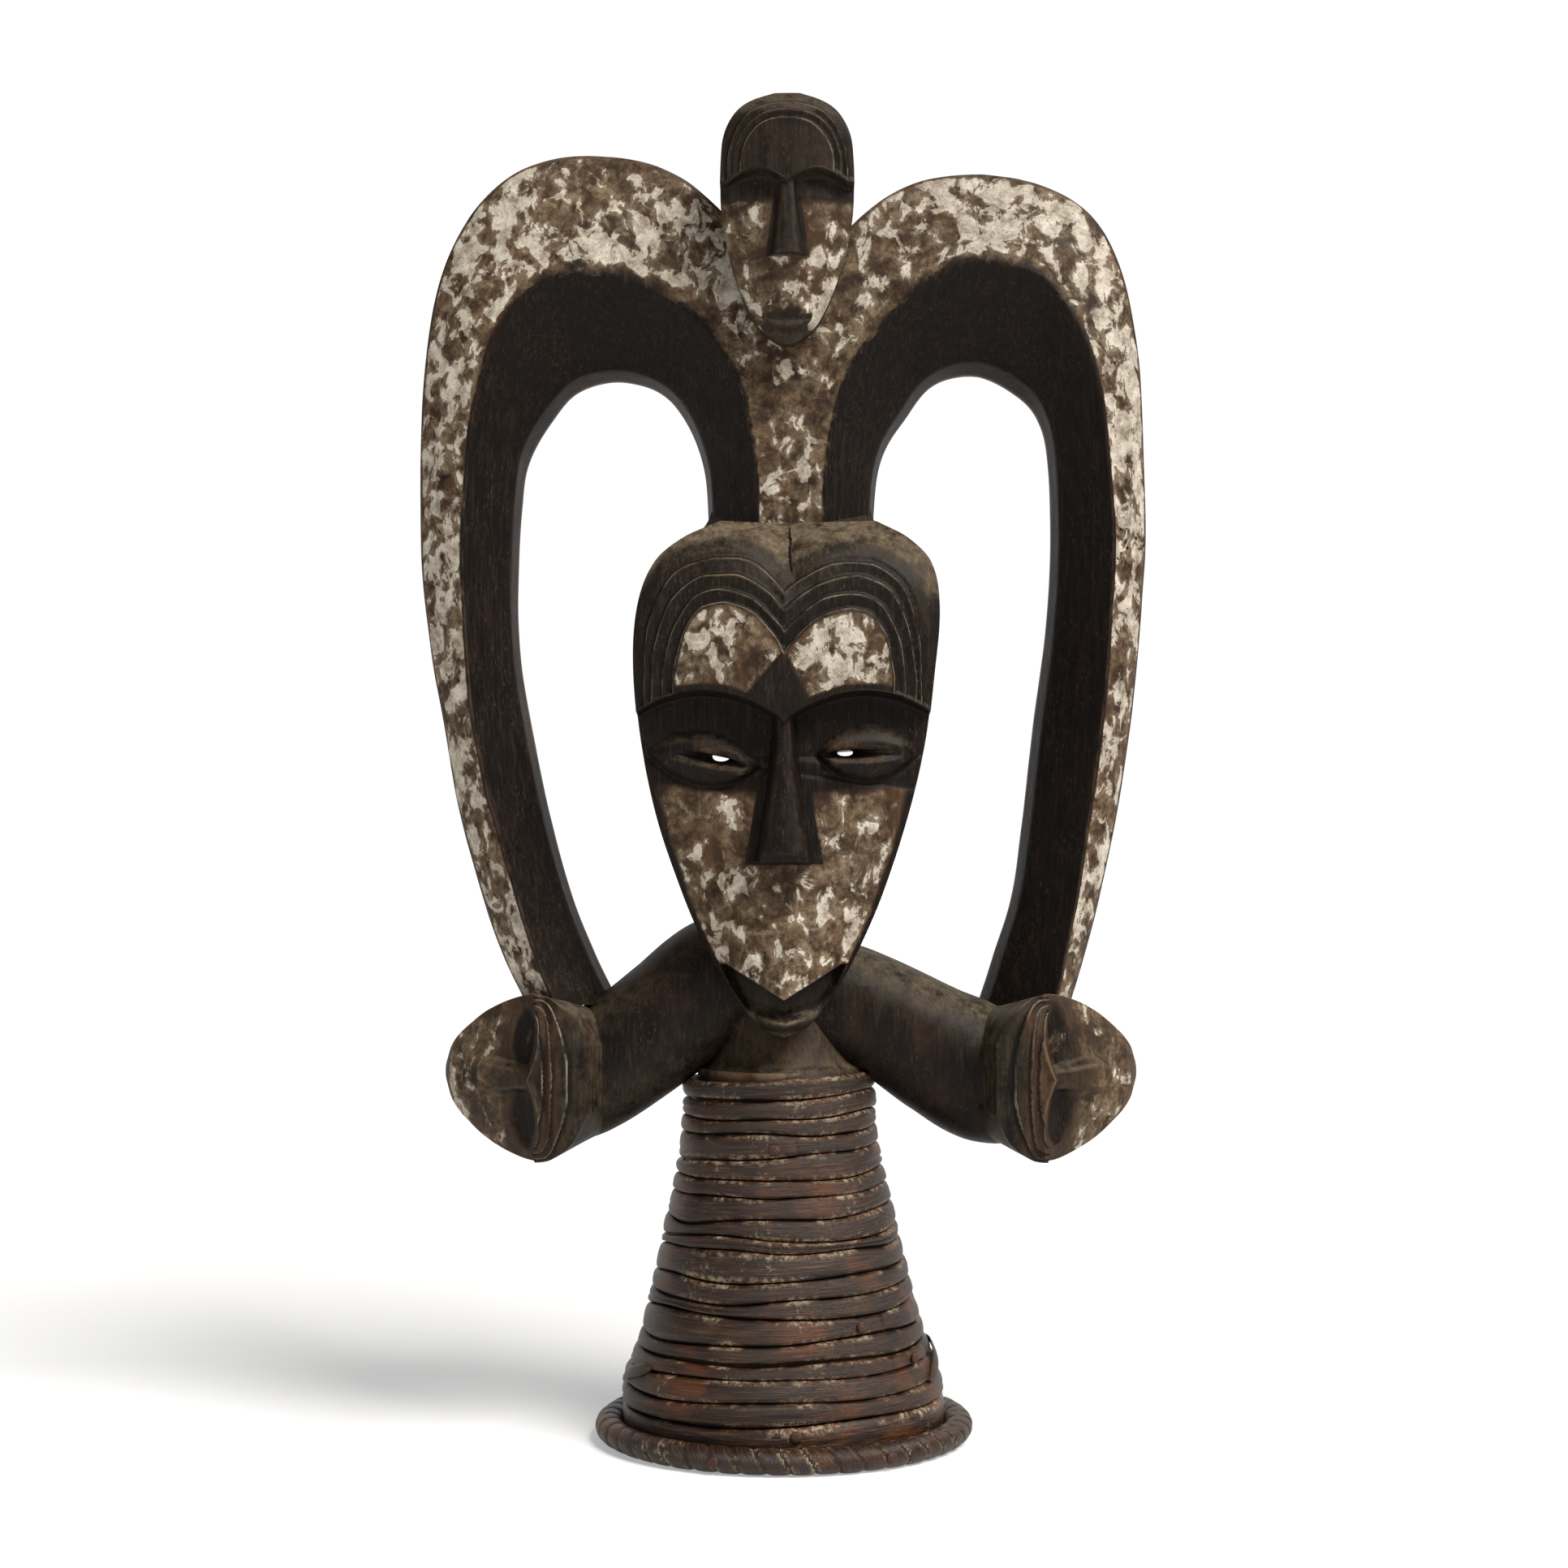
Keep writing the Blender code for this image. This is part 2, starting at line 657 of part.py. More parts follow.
def make_carving():
    """All the wood, as one solid."""
    wood = make_material("wood", (0.062, 0.042, 0.030), 0.62)
    body = make_foot("carved_wood", wood)
    combine(body, make_neck(wood), "UNION")
    combine(body, make_arm("left arm tool", LEFT_ARM, -1, wood), "UNION")
    combine(body, make_arm("right arm tool", RIGHT_ARM, 1, wood), "UNION")
    combine(body, make_mask(wood), "UNION")
    combine(body, make_mask_hollow(wood), "DIFFERENCE")
    combine(body, make_horn("left horn tool", LEFT_HORN, wood), "UNION")
    combine(body, make_horn("right horn tool", RIGHT_HORN, wood), "UNION")
    combine(body, make_crown_head(wood), "UNION")
    combine(body, make_end_head("left end tool", -1, LEFT_END_X, wood), "UNION")
    combine(body, make_end_head("right end tool", 1, RIGHT_END_X, wood), "UNION")
    for i, line in enumerate(FOREHEAD_LINES):
        combine(body, make_line_cutter(f"line tool {i}", line, wood), "DIFFERENCE")
    combine(body, make_eye_slit("left eye tool", -EYE_X, -0.2, wood), "DIFFERENCE")
    combine(body, make_eye_slit("right eye tool", EYE_X, 0.04, wood), "DIFFERENCE")
    combine(body, make_winding_seat(wood), "DIFFERENCE")
    combine(body, make_foot_hollow(wood), "DIFFERENCE")
    return body


# The winding, the hoop and the nails


def strip_place(turns):
    """The turn about Z and the bottom height of the strip, which starts at the back."""
    pitch = (FOOT_HEIGHT - STRIP_START) / (STRIP_TURNS + 1)
    return 2 * math.pi * turns + math.pi, STRIP_START + pitch * turns, pitch


def strip_ring(turns):
    """A strip's section: flat to the wood, narrower outside."""
    turn, low, pitch = strip_place(turns)
    high = low + pitch - 2 * GAP
    ring = []
    for height, outside in ((low, 0), (low + STRIP_EDGE, 1), (high - STRIP_EDGE, 1), (high, 0)):
        radius = strip_face(foot_radius(height)) + STRIP_THICKNESS * outside
        ring.append(foot_place(radius, turn, height))
    return ring


def make_strip(name, start, end, material):
    steps = math.ceil((end - start) * STRIP_STEPS)
    rings = [strip_ring(start + (end - start) * i / steps) for i in range(steps + 1)]
    return make_loft(name, rings, material)


def hoop_radius():
    """Radius of the hoop's middle line, which just clears the lowest strip."""
    return strip_face(FOOT_RADIUS) + STRIP_THICKNESS + HOOP_TUBE_RADIUS + GAP


def make_hoop(material):
    """The hoop with one bulge for each wrap, and a flat underside to stand on."""
    rings = []
    for i in range(2 * HOOP_WRAPS):
        turn = math.pi * i / HOOP_WRAPS
        tube = HOOP_TUBE_RADIUS - WRAP_GROOVE * (i % 2)
        ring = []
        for k in range(HOOP_SIDES):
            angle = 2 * math.pi * (k - 0.5) / HOOP_SIDES - math.pi / 2
            radius = hoop_radius() + tube * math.cos(angle)
            height = HOOP_TUBE_RADIUS + tube * math.sin(angle)
            if k < 2:
                height = 0.0
            ring.append(Vector((radius * math.sin(turn), -radius * math.cos(turn), height)))
        rings.append(ring)
    return make_loft("rim_hoop", rings, material, closed=True)


def make_nail(name, position, outward, material):
    """A domed nail head that stands on the rattan."""
    outward = outward.normalized()
    side = outward.cross(Vector((0, 0, 1))).normalized()
    up = side.cross(outward)
    rings = []
    for radius, rise in ((1.0, 0.0), (0.95, 0.5), (0.5, 1.0)):
        ring = []
        for k in range(NAIL_SIDES):
            turn = 2 * math.pi * k / NAIL_SIDES
            offset = side * math.cos(turn) + up * math.sin(turn)
            ring.append(position + offset * NAIL_RADIUS * radius + outward * NAIL_RISE * rise)
        rings.append(ring)
    return make_loft(name, rings, material)


def strip_nail(name, turns, material):
    """A nail head in the middle of a strip, just before its end."""
    turn, low, pitch = strip_place(turns)
    height = low + pitch / 2 - GAP
    radius = strip_face(foot_radius(low + STRIP_EDGE)) + STRIP_THICKNESS + GAP
    outward = Vector((math.sin(turn), -math.cos(turn), 0))
    return make_nail(name, foot_place(radius, turn, height), outward, material)


def hoop_nail(name, degrees, material):
    turn = math.radians(degrees)
    outward = Vector((math.sin(turn), -math.cos(turn), 0))
    radius = hoop_radius() + HOOP_TUBE_RADIUS + GAP
    return make_nail(name, outward * radius + Vector((0, 0, HOOP_TUBE_RADIUS)), outward, material)


def make_binding():
    rattan = make_material("rattan", (0.105, 0.062, 0.036), 0.5)
    iron = make_material("iron", (0.12, 0.045, 0.025), 0.7, 0.4)
    for i, (start, end) in enumerate(zip(STRIP_ENDS, STRIP_ENDS[1:])):
        clear = 0.004
        make_strip(f"rattan_strip_{i + 1}", start + clear, end - clear, rattan)
    make_hoop(rattan)
    for i, turns in enumerate((0.53, *STRIP_ENDS[1:-1])):
        strip_nail(f"strip_nail_{i + 1}", turns - 0.018, iron)
    for i, degrees in enumerate((-21, 33, 150)):
        hoop_nail(f"hoop_nail_{i + 1}", degrees, iron)


def main():
    for obj in list(bpy.data.objects):
        bpy.data.objects.remove(obj)
    make_carving()
    make_binding()


main()
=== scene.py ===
"""The dressed forest spirit mask: fine carving, worn kaolin, split rattan, and a plain studio."""

import math

import bmesh
import bpy
import numpy as np
from mathutils import Matrix, Vector, noise


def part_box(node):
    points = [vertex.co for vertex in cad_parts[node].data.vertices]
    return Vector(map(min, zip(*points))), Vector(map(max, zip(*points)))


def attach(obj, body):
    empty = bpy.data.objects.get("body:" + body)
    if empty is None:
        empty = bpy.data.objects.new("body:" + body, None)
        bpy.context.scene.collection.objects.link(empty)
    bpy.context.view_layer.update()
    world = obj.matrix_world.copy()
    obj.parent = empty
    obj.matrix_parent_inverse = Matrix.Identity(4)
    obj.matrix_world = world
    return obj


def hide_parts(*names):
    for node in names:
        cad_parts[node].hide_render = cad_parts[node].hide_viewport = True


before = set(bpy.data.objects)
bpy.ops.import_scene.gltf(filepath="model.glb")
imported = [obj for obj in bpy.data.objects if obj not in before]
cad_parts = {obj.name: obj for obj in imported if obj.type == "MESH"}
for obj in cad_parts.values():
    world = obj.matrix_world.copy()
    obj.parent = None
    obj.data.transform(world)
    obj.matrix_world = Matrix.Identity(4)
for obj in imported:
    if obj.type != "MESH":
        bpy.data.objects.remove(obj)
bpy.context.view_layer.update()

MM = 0.001
PHOTO_SIZE = 1932  # pixels on each side of the photograph
FOCAL_PIXELS = 3680.0
SENSOR_MM = 36.0
CAMERA_PLACE = (0.0, -1.6, 0.349)

# Sizes shared with the solids, in millimetres. Heights of the carving count from the foot's top.
FOOT_HEIGHT = 198.0
FOOT_RADIUS = 81.2
NECK_RADIUS = 47.0
FLARE_START = 30.0
FOOT_WALL = 12.5
HOLLOW_ROOF = 34.0
FOOT_LEAN = -3.0
FOOT_INSET = 0.4  # how far the carved foot lies inside its solid
FOOT_STEPS = 40
FOOT_SIDES = 96
STRIP_THICKNESS = 4.2
STRIP_START = 8.0
STRIP_TURNS = 17.8
STRIP_ENDS = (0.0, 3.681, 5.612, 14.51, STRIP_TURNS)
STRIP_OVERLAP = 0.022  # turns
STEPS_IN_A_TURN = 132
# The strip's section: places across it, and how much of its thickness stands there
STRIP_PROFILE = (
    (0.0, 0.0), (0.012, 0.40), (0.045, 0.66), (0.11, 0.84), (0.22, 0.95), (0.36, 1.0), (0.5, 1.0),
    (0.64, 1.0), (0.78, 0.95), (0.89, 0.84), (0.955, 0.66), (0.988, 0.40), (1.0, 0.0),
)  # fmt: skip
HOOP_TUBE = 7.0
HOOP_RADIUS = FOOT_RADIUS + STRIP_THICKNESS + HOOP_TUBE + 0.7
HOOP_SPREAD = 1.14  # how much wider than high its tube is pressed
HOOP_WRAPS = 47
STEPS_IN_A_WRAP = 12
HOOP_SIDES = 30
# A nail's head: radius, and how far it stands out
NAIL_PROFILE = ((2.6, -0.4), (3.1, 0.3), (3.05, 0.9), (2.5, 1.45), (1.6, 1.75), (0.7, 1.85))
NAIL_SIDES = 20
NAIL_SEAT = 1.7  # how far the head is sunk in

# The horns: inner edge, ridge and outer edge as x and height, and flatness
LEFT_HORN = (
    (-41, 262, -16, 262, 18, 262, 1.0),
    (-44, 320, -16, 322, 18, 330, 1.0),
    (-61, 356, -26, 366, 5, 400, 1.0),
    (-86, 367, -55, 402, -46, 467, 0.5),
    (-110, 362, -96, 418, -98, 486, 0.1),
    (-124, 347, -129, 412, -147, 475, 0.0),
    (-137, 324, -151, 386, -179, 433, 0.0),
    (-141, 299, -164, 344, -192, 370, 0.0),
    (-143, 250, -169, 272, -194, 282, 0.0),
    (-141, 215, -167, 222, -189, 226, 0.0),
    (-135, 180, -163, 180, -181, 180, 0.0),
    (-126, 136, -153, 136, -173, 135, 0.0),
    (-114, 92, -141, 94, -161, 91, 0.0),
    (-101, 59, -131, 62, -150, 59, 0.0),
    (-88, 33, -120, 34, -137, 32, 0.0),
)
RIGHT_HORN = (
    (48, 262, 22, 262, -14, 262, 1.0),
    (52, 320, 24, 327, -12, 335, 1.0),
    (68, 350, 36, 369, 0, 400, 1.0),
    (82, 366, 58, 399, 49, 459, 0.5),
    (104, 370, 94, 424, 95, 476, 0.1),
    (125, 360, 131, 420, 144, 468, 0.0),
    (137, 346, 150, 400, 173, 442, 0.0),
    (142, 322, 165, 364, 188, 388, 0.0),
    (143, 272, 173, 290, 193, 296, 0.0),
    (140, 230, 172, 243, 191, 247, 0.0),
    (134, 187, 168, 190, 186, 190, 0.0),
    (128, 132, 160, 130, 177, 132, 0.0),
    (122, 90, 154, 90, 168, 90, 0.0),
    (112, 58, 147, 55, 159, 54, 0.0),
    (103, 31, 143, 34, 152, 32, 0.0),
)
RIDGE_DEPTH = -28.0
INNER_EDGE_DEPTH = 0.0
OUTER_EDGE_DEPTH = -8.0
TRUNK_FRONT_DEPTH = -26.5
HORN_BACK_DEPTH = 24.0
BACK_ROUNDING = 8.0
UNDERCUT = 0.14
HORN_STEPS = 300
HORN_CORNER_RADII = (1.2, 8.0, 3.0, 5.0, 5.0, 5.0, 4.0, 1.6)
HORN_SIDE_COUNTS = (7, 7, 8, 4, 6, 4, 5, 12)

# The fillet at the foot of the horns' trunk
TRUNK_LEFT = -42.2
TRUNK_RIGHT = 49.8
COLLAR_TOP = 304.0
COLLAR_FOOT = 276.0
COLLAR_SPREAD = 19.0
COLLAR_INSET = 4.0
COLLAR_STEPS = 16
COLLAR_CORNER_RADII = (3, 3, 4, 2, 3, 5, 5, 3, 2, 4)
COLLAR_SIDE_COUNTS = (8, 6, 3, 3, 3, 6, 3, 3, 3, 6)

# The arms: x, height, half thickness and half depth
LEFT_ARM = (
    (-8, 62, 28, 28),
    (-36, 48, 32, 30),
    (-59, 28, 33, 31),
    (-85, 8.5, 32.5, 31),
    (-108, -4, 34, 32),
    (-124, -6, 34, 33),
)
RIGHT_ARM = (
    (4, 46, 29, 28),
    (30, 35, 32, 30),
    (58, 23, 32, 31),
    (84, 8, 35, 31),
    (108, -3, 38, 33),
    (124, -3, 36, 34),
)
ARM_STEPS = 70
ARM_SIDES = 56
# The neck: height, half width and half depth
NECK = ((-12, 46.5, 46.5), (0, 43, 42), (4, 39, 37), (16, 34, 33), (32, 30, 29), (50, 29, 28), (72, 29, 28))
NECK_SIDES = 72

# The great mask, with heights from the point between its brows
MASK_BROW_HEIGHT = 183.5
MASK_RIM_DEPTH = -45.0
MASK_BACK_DEPTH = 4.0
# Heights, with the half width of the mask to the left and to the right
MASK_OUTLINE = (
    (-164, 3, 3), (-160, 11, 11), (-150, 20.5, 20), (-133, 32, 31.5), (-112, 43.5, 42),
    (-87, 54, 52.4), (-49, 66.5, 64.7), (-11, 74.4, 73.5), (27, 78, 78.2), (60, 76, 80.6),
    (83, 67, 76.3), (96, 52, 64), (105, 33, 48),
)  # fmt: skip
MASK_WALL = 13.0
MASK_TAPER = 0.94
# How far the face and the forehead stand out along their middle, by height
CHEEKS = ((-164, 5), (-157, 14), (-146, 21), (-128, 21), (-95, 17), (-55, 14), (-15, 12), (0, 12))
FOREHEAD = ((0, 27), (35, 32), (62, 29), (80, 21), (96, 8), (105, -10))
NOSE_LENGTH = 72.5
# The lines cut over the two lobes of the forehead. Each has the height of its valley between the
# lobes, and for the left and the right lobe: x of its top, x at the temple, height, and fullness.
FOREHEAD_LINES = (
    (35.5, (32, 57.7, 61.0, 2.3), (36, 57.4, 58.0, 2.3)),
    (46.0, (32, 63.3, 67.7, 2.25), (36, 63.0, 65.3, 2.3)),
    (57.3, (30, 68.9, 76.0, 2.5), (36, 68.5, 74.4, 2.5)),
    (66.0, (26, 72.4, 84.7, 2.9), (34, 71.3, 82.0, 2.8)),
)
LOBE_BASE = 11.0
VALLEY_FULLNESS = 1.9
LINE_SPREAD = 8.0  # how far the phase runs on inside the first line and outside the last
LINE_STEP = 2.6
# Each eye: middle x and height, half length, half height, tilt
EYES = ((-42.0, -20.2, 30.0, 13.2, -0.13), (43.3, -17.2, 27.0, 14.2, 0.02))
# Each slit: middle x and height, half length, half height, tilt
SLITS = ((-37.5, -20.0, 19.5, 2.9, -0.19), (38.8, -17.4, 19.5, 2.7, 0.03))
# The narrow throat of each slit: middle x and height, half length, half height
THROATS = ((-32.5, -18.4, 4.6, 2.4), (31.6, -16.2, 4.0, 1.7))
THROAT_SETBACK = 7.0
SLIT_CUT = 0.93  # cells whose middle is nearer to a slit's middle than this share are cut away

# The small head in the fork, and the heads at the ends of the arms
CROWN_X = 1.7
CROWN_BROW_HEIGHT = 463.0
# Heights from its brow, with its half width
CROWN_OUTLINE = (
    (-83, 3), (-76, 13.4), (-67, 19.5), (-53, 25.5), (-39, 30), (-14, 34.3), (17, 34),
    (28, 31.5), (38, 25), (44, 17), (48, 6),
)  # fmt: skip
END_TURN = math.radians(35)
END_HEIGHT = -3.0
END_DEPTH = 34.0
END_OUTLINE = (
    (-68, 5), (-64, 14), (-52, 25), (-36, 35), (-15, 42.5), (0, 43.8), (10, 41.5), (20, 34), (27, 18),
)  # fmt: skip

# What each point of the carving is marked with for the material, as shares and a phase
MARKS = ("kaolin", "tan", "soot", "dust_and_highlight", "line")
NO_LINE = 0.5  # a phase half way between two cut lines
SHORTEST_EDGE = 1e-5  # metres
CURVATURE_BLURS = 2

# The studio
FLOOR_RADIUS = 14.0
FLOOR_SIDES = 64
WORLD_RAMP = {"From Min": 0.45, "From Max": 0.93, "To Min": 0.16, "To Max": 1.03}


# Plain numbers


def clamp(value, low=0.0, high=1.0):
    return min(high, max(low, value))


def blend(edge_0, edge_1, value):
    """0 before edge_0, 1 after edge_1, smooth between."""
    share = clamp((value - edge_0) / (edge_1 - edge_0))
    return share * share * (3 - 2 * share)


def bump(distance, width):
    return math.exp(-((distance / width) ** 2))


def mix(a, b, share):
    return a + (b - a) * share


def spline(knots, share):
    """The point at share, 0 to 1, on a Catmull-Rom curve through the knots."""
    place = min(share, 1.0) * (len(knots) - 1)
    start = min(int(place), len(knots) - 2)
    t = place - start
    p = [knots[min(max(start + i, 0), len(knots) - 1)] for i in (-1, 0, 1, 2)]
    return [
        0.5 * (2 * b + (c - a) * t + (2 * a - 5 * b + 4 * c - d) * t**2 + (3 * b - a - 3 * c + d) * t**3)
        for a, b, c, d in zip(*p)
    ]


def lookup(knots, value):
    """The second number of a table of pairs at the first number value, smoothly between its rows."""
    if value <= knots[0][0]:
        return knots[0][1]
    for i, (low, high) in enumerate(zip(knots, knots[1:])):
        if value <= high[0]:
            before = knots[max(i - 1, 0)]
            after = knots[min(i + 2, len(knots) - 1)]
            span = high[0] - low[0]
            slope_in = span * (high[1] - before[1]) / (high[0] - before[0])
            slope_out = span * (after[1] - low[1]) / (after[0] - low[0])
            t = (value - low[0]) / span
            return (
                (2 * t**3 - 3 * t**2 + 1) * low[1]
                + (t**3 - 2 * t**2 + t) * slope_in
                + (3 * t**2 - 2 * t**3) * high[1]
                + (t**3 - t**2) * slope_out
            )
    return knots[-1][1]


def shares(steps):
    """Equal shares from 0 to 1."""
    return [i / steps for i in range(steps + 1)]


def turns_round(count):
    """Equal turns round a circle, in radians."""
    return [2 * math.pi * k / count for k in range(count)]


def wander(x, y=0.0, z=0.0):
    """Smooth noise, about -1 to 1."""
    return noise.noise(Vector((x, y, z)), noise_basis="PERLIN_ORIGINAL") * 1.6


# Mesh building


class Shell:
    """Points in millimetres, faces and marks of a mesh that is being built."""

    def __init__(self):
        self.points = []
        self.faces = []
        self.marks = []

    def add_points(self, points, marks):
        first = len(self.points)
        self.points += points
        self.marks += marks
        return first

    def add_rings(self, rings, marks, closed=False):
        """A skin over closed rings of equal length, capped at both ends or joined end to end."""
        count = len(rings[0])
        flat = [point for ring in rings for point in ring]
        first = self.add_points(flat, [mark for ring in marks for mark in ring])
        for i in range(len(rings) if closed else len(rings) - 1):
            here, after = first + i * count, first + (i + 1) % len(rings) * count
            for k in range(count):
                n = (k + 1) % count
                self.faces.append((here + k, here + n, after + n, after + k))
        if not closed:
            self.add_cap(first, count, rings[0], marks[0], True)
            self.add_cap(first + (len(rings) - 1) * count, count, rings[-1], marks[-1], False)

    def add_cap(self, first, count, ring, marks, turned):
        """A fan of triangles from the ring's middle."""
        middle = tuple(sum(point[i] for point in ring) / count for i in range(3))
        centre = self.add_points([middle], [marks[0]])
        for k in range(count):
            face = (first + k, first + (k + 1) % count, centre)
            self.faces.append(face[::-1] if turned else face)


def link_to_scene(obj):
    bpy.context.scene.collection.objects.link(obj)
    return obj


def write_attribute(mesh, name, values):
    layer = mesh.attributes.new(name, "FLOAT", "POINT")
    layer.data.foreach_set("value", values.astype(np.float32))


def make_piece(name, shell, material, wear=0.0, attribute_names=MARKS):
    """The shell as a mesh object in metres, with one number attribute for each mark."""
    mesh = bpy.data.meshes.new(name)
    mesh.from_pydata([(x * MM, y * MM, z * MM) for x, y, z in shell.points], [], shell.faces)
    mesh.update()
    face_outwards(mesh)
    if wear:
        hand_tool(mesh, wear)
    values = np.array(shell.marks, dtype=np.float32)
    for i, key in enumerate(attribute_names):
        write_attribute(mesh, key, values[:, i])
    add_curvature(mesh)
    mesh.materials.append(material)
    mesh.shade_smooth()
    return link_to_scene(bpy.data.objects.new(name, mesh))


def face_outwards(mesh):
    shape = bmesh.new()
    shape.from_mesh(mesh)
    bmesh.ops.recalc_face_normals(shape, faces=shape.faces)
    shape.to_mesh(mesh)
    shape.free()
    mesh.update()


def vertex_arrays(mesh):
    """The places and the normals of the mesh's points."""
    arrays = []
    for key in ("co", "normal"):
        values = np.empty(len(mesh.vertices) * 3, dtype=np.float32)
        mesh.vertices.foreach_get(key, values)
        arrays.append(values.reshape(-1, 3).astype(float))
    return arrays


def hand_tool(mesh, strength):
    """Moves the points a little along their normals, as an adze and a knife leave a surface."""
    places, normals = vertex_arrays(mesh)
    moved = np.empty(len(places))
    for i, (x, y, z) in enumerate(places):
        broad = noise.noise(Vector((x * 26, y * 26, z * 15)))
        fine = noise.noise(Vector((x * 95, y * 95, z * 38 + 7)))
        facet = noise.voronoi(Vector((x * 60, y * 60, z * 34)))[0][0]
        moved[i] = 0.55 * broad + 0.16 * fine + 0.30 * (facet - 0.45)
    places += normals * (moved * strength * MM)[:, None]
    places[:, 2] = np.maximum(places[:, 2], 0.0)
    mesh.vertices.foreach_set("co", places.astype(np.float32).ravel())
    mesh.update()


def add_curvature(mesh):
    """Writes the attribute edge: above 0 on worn ridges, below 0 in creases, where the wood's material
    darkens them as painted shade.
    """
    places, normals = vertex_arrays(mesh)
    edges = np.empty(len(mesh.edges) * 2, dtype=np.int32)
    mesh.edges.foreach_get("vertices", edges)
    a, b = edges.reshape(-1, 2).T
    step = places[b] - places[a]
    length = np.maximum(np.linalg.norm(step, axis=1), SHORTEST_EDGE)
    total = np.zeros(len(places))
    weight = np.zeros(len(places))
    for end, sign in ((a, -1), (b, 1)):
        np.add.at(total, end, sign * (step * normals[end]).sum(1) / length)
        np.add.at(weight, end, 1.0)
    value = total / np.maximum(weight, 1.0)
    for _ in range(CURVATURE_BLURS):
        spread = value.copy()
        np.add.at(spread, a, value[b])
        np.add.at(spread, b, value[a])
        value = spread / (weight + 1.0)
    write_attribute(mesh, "edge", value)


def carving(x, depth, height):
    return (x, depth, FOOT_HEIGHT + height)


# The horns


def rounded_section(corners, radii, counts):
    """A closed section with each corner worn round, and which side each of its points is on."""
    points, sides = [], []
    total = len(corners)
    for i in range(total):
        here, after, before = corners[i], corners[(i + 1) % total], corners[i - 1]
        reach = min(radii[i], (after - here).length * 0.45, (before - here).length * 0.45)
        start = here + (after - here).normalized() * reach
        back = here + (before - here).normalized() * reach
        points.append((back + start) * 0.2 + here * 0.6)
        sides.append((i, 0.0))
        next_reach = min(radii[(i + 1) % total], (after - here).length * 0.45)
        finish = after + (here - after).normalized() * next_reach
        for j in range(counts[i] + 1):
            share = j / counts[i]
            points.append(start.lerp(finish, share))
            sides.append((i, share))
    return points, sides


def horn_marks(side, share, flatness, along):
    """What covers a horn at one of its sides: kaolin outside the ridge, soot inside it."""
    cover, sooted = 1.0 - 0.17 * flatness, 0.35 * flatness
    if side == 0:
        blur = mix(0.07, 0.28, bump(along - 0.30, 0.22))
        bare = blend(blur, 0.0, share)
        return (blend(0.02, blur, share) * cover, 1.0 - 0.6 * bare, 0.9 * bare + sooted, 0.0, NO_LINE)
    if side == 1:
        return (cover, 1.0, sooted, 0.0, NO_LINE)
    if side == 2:
        return (0.35 * blend(0.3, 0.0, share), 0.35, 0.25, 0.3, NO_LINE)
    if side in (3, 4, 5):
        return (0.0, 0.25, 0.35, 0.35, NO_LINE)
    if side == 6:
        return (0.0, 0.1, 0.55, 0.0, NO_LINE)
    return (0.0, 0.0, 1.0, 0.0, NO_LINE)


def horn_corners(edges, flatness, along, side):
    """A horn's section, from the ridge round the outer edge and the back to the inner edge."""
    inner, ridge, outer = (Vector((edges[k], 0, edges[k + 1])) for k in (0, 2, 4))
    ridge = ridge + Vector((wander(along * 24, side * 3.0), 0, wander(along * 24, 9.0))) * 0.5
    outer_depth = mix(OUTER_EDGE_DEPTH, TRUNK_FRONT_DEPTH, flatness)
    back = Vector((0, HORN_BACK_DEPTH, 0))
    side_back = Vector((0, HORN_BACK_DEPTH - BACK_ROUNDING, 0))
    return [
        ridge + Vector((0, RIDGE_DEPTH, 0)),
        ridge.lerp(outer, 0.55) + Vector((0, mix(RIDGE_DEPTH, outer_depth, 0.4), 0)),
        outer + Vector((0, outer_depth, 0)),
        outer + side_back,
        ridge.lerp(outer, 0.6) + back,
        inner.lerp(ridge, 0.5) + back,
        inner + side_back,
        inner.lerp(ridge, UNDERCUT) + Vector((0, INNER_EDGE_DEPTH, 0)),
    ]


def add_horn(shell, stations, side, setback):
    rings, marks = [], []
    for along in shares(HORN_STEPS):
        *edges, flatness = spline(stations, along)
        corners = horn_corners(edges, flatness, along, side)
        points, sides = rounded_section(corners, HORN_CORNER_RADII, HORN_SIDE_COUNTS)
        rings.append([carving(p.x, p.y + setback * flatness, p.z) for p in points])
        marks.append([horn_marks(k, share, flatness, along) for k, share in sides])
    shell.add_rings(rings, marks)


def add_collar(shell):
    """The fillet where the trunk of the horns spreads into the top of the mask."""
    rings, marks = [], []
    for share in shares(COLLAR_STEPS):
        height = mix(COLLAR_TOP, COLLAR_FOOT, share)
        spread = COLLAR_SPREAD * share**2.4 - COLLAR_INSET
        low_x, high_x = TRUNK_LEFT - spread, TRUNK_RIGHT + spread
        front, side_front, side_back = -27.0 - 0.6 * spread, -0.8 * spread, 2.0 - 0.5 * spread
        corners = (
            (-16 - 0.4 * spread, front), (22 + 0.4 * spread, front), (high_x, side_front),
            (high_x, side_back), (47, 10), (30, 20), (-22, 20), (-39, 10), (low_x, side_back),
            (low_x, side_front),
        )  # fmt: skip
        corners = [Vector((x, y, height)) for x, y in corners]
        points, sides = rounded_section(corners, COLLAR_CORNER_RADII, COLLAR_SIDE_COUNTS)
        rings.append([carving(p.x, p.y, p.z) for p in points])
        top = blend(0.75, 0.55, share)
        front_mark = (0.4 * top, 0.6 * top + 0.2, 0.8 - 0.3 * top, 0.7 * (1 - top), NO_LINE)
        side_mark = (0.0, 0.1, 0.9, 0.4 * (1 - top), NO_LINE)
        marks.append([front_mark if k == 0 else side_mark for k, _ in sides])
    shell.add_rings(rings, marks)


# The arms and the neck


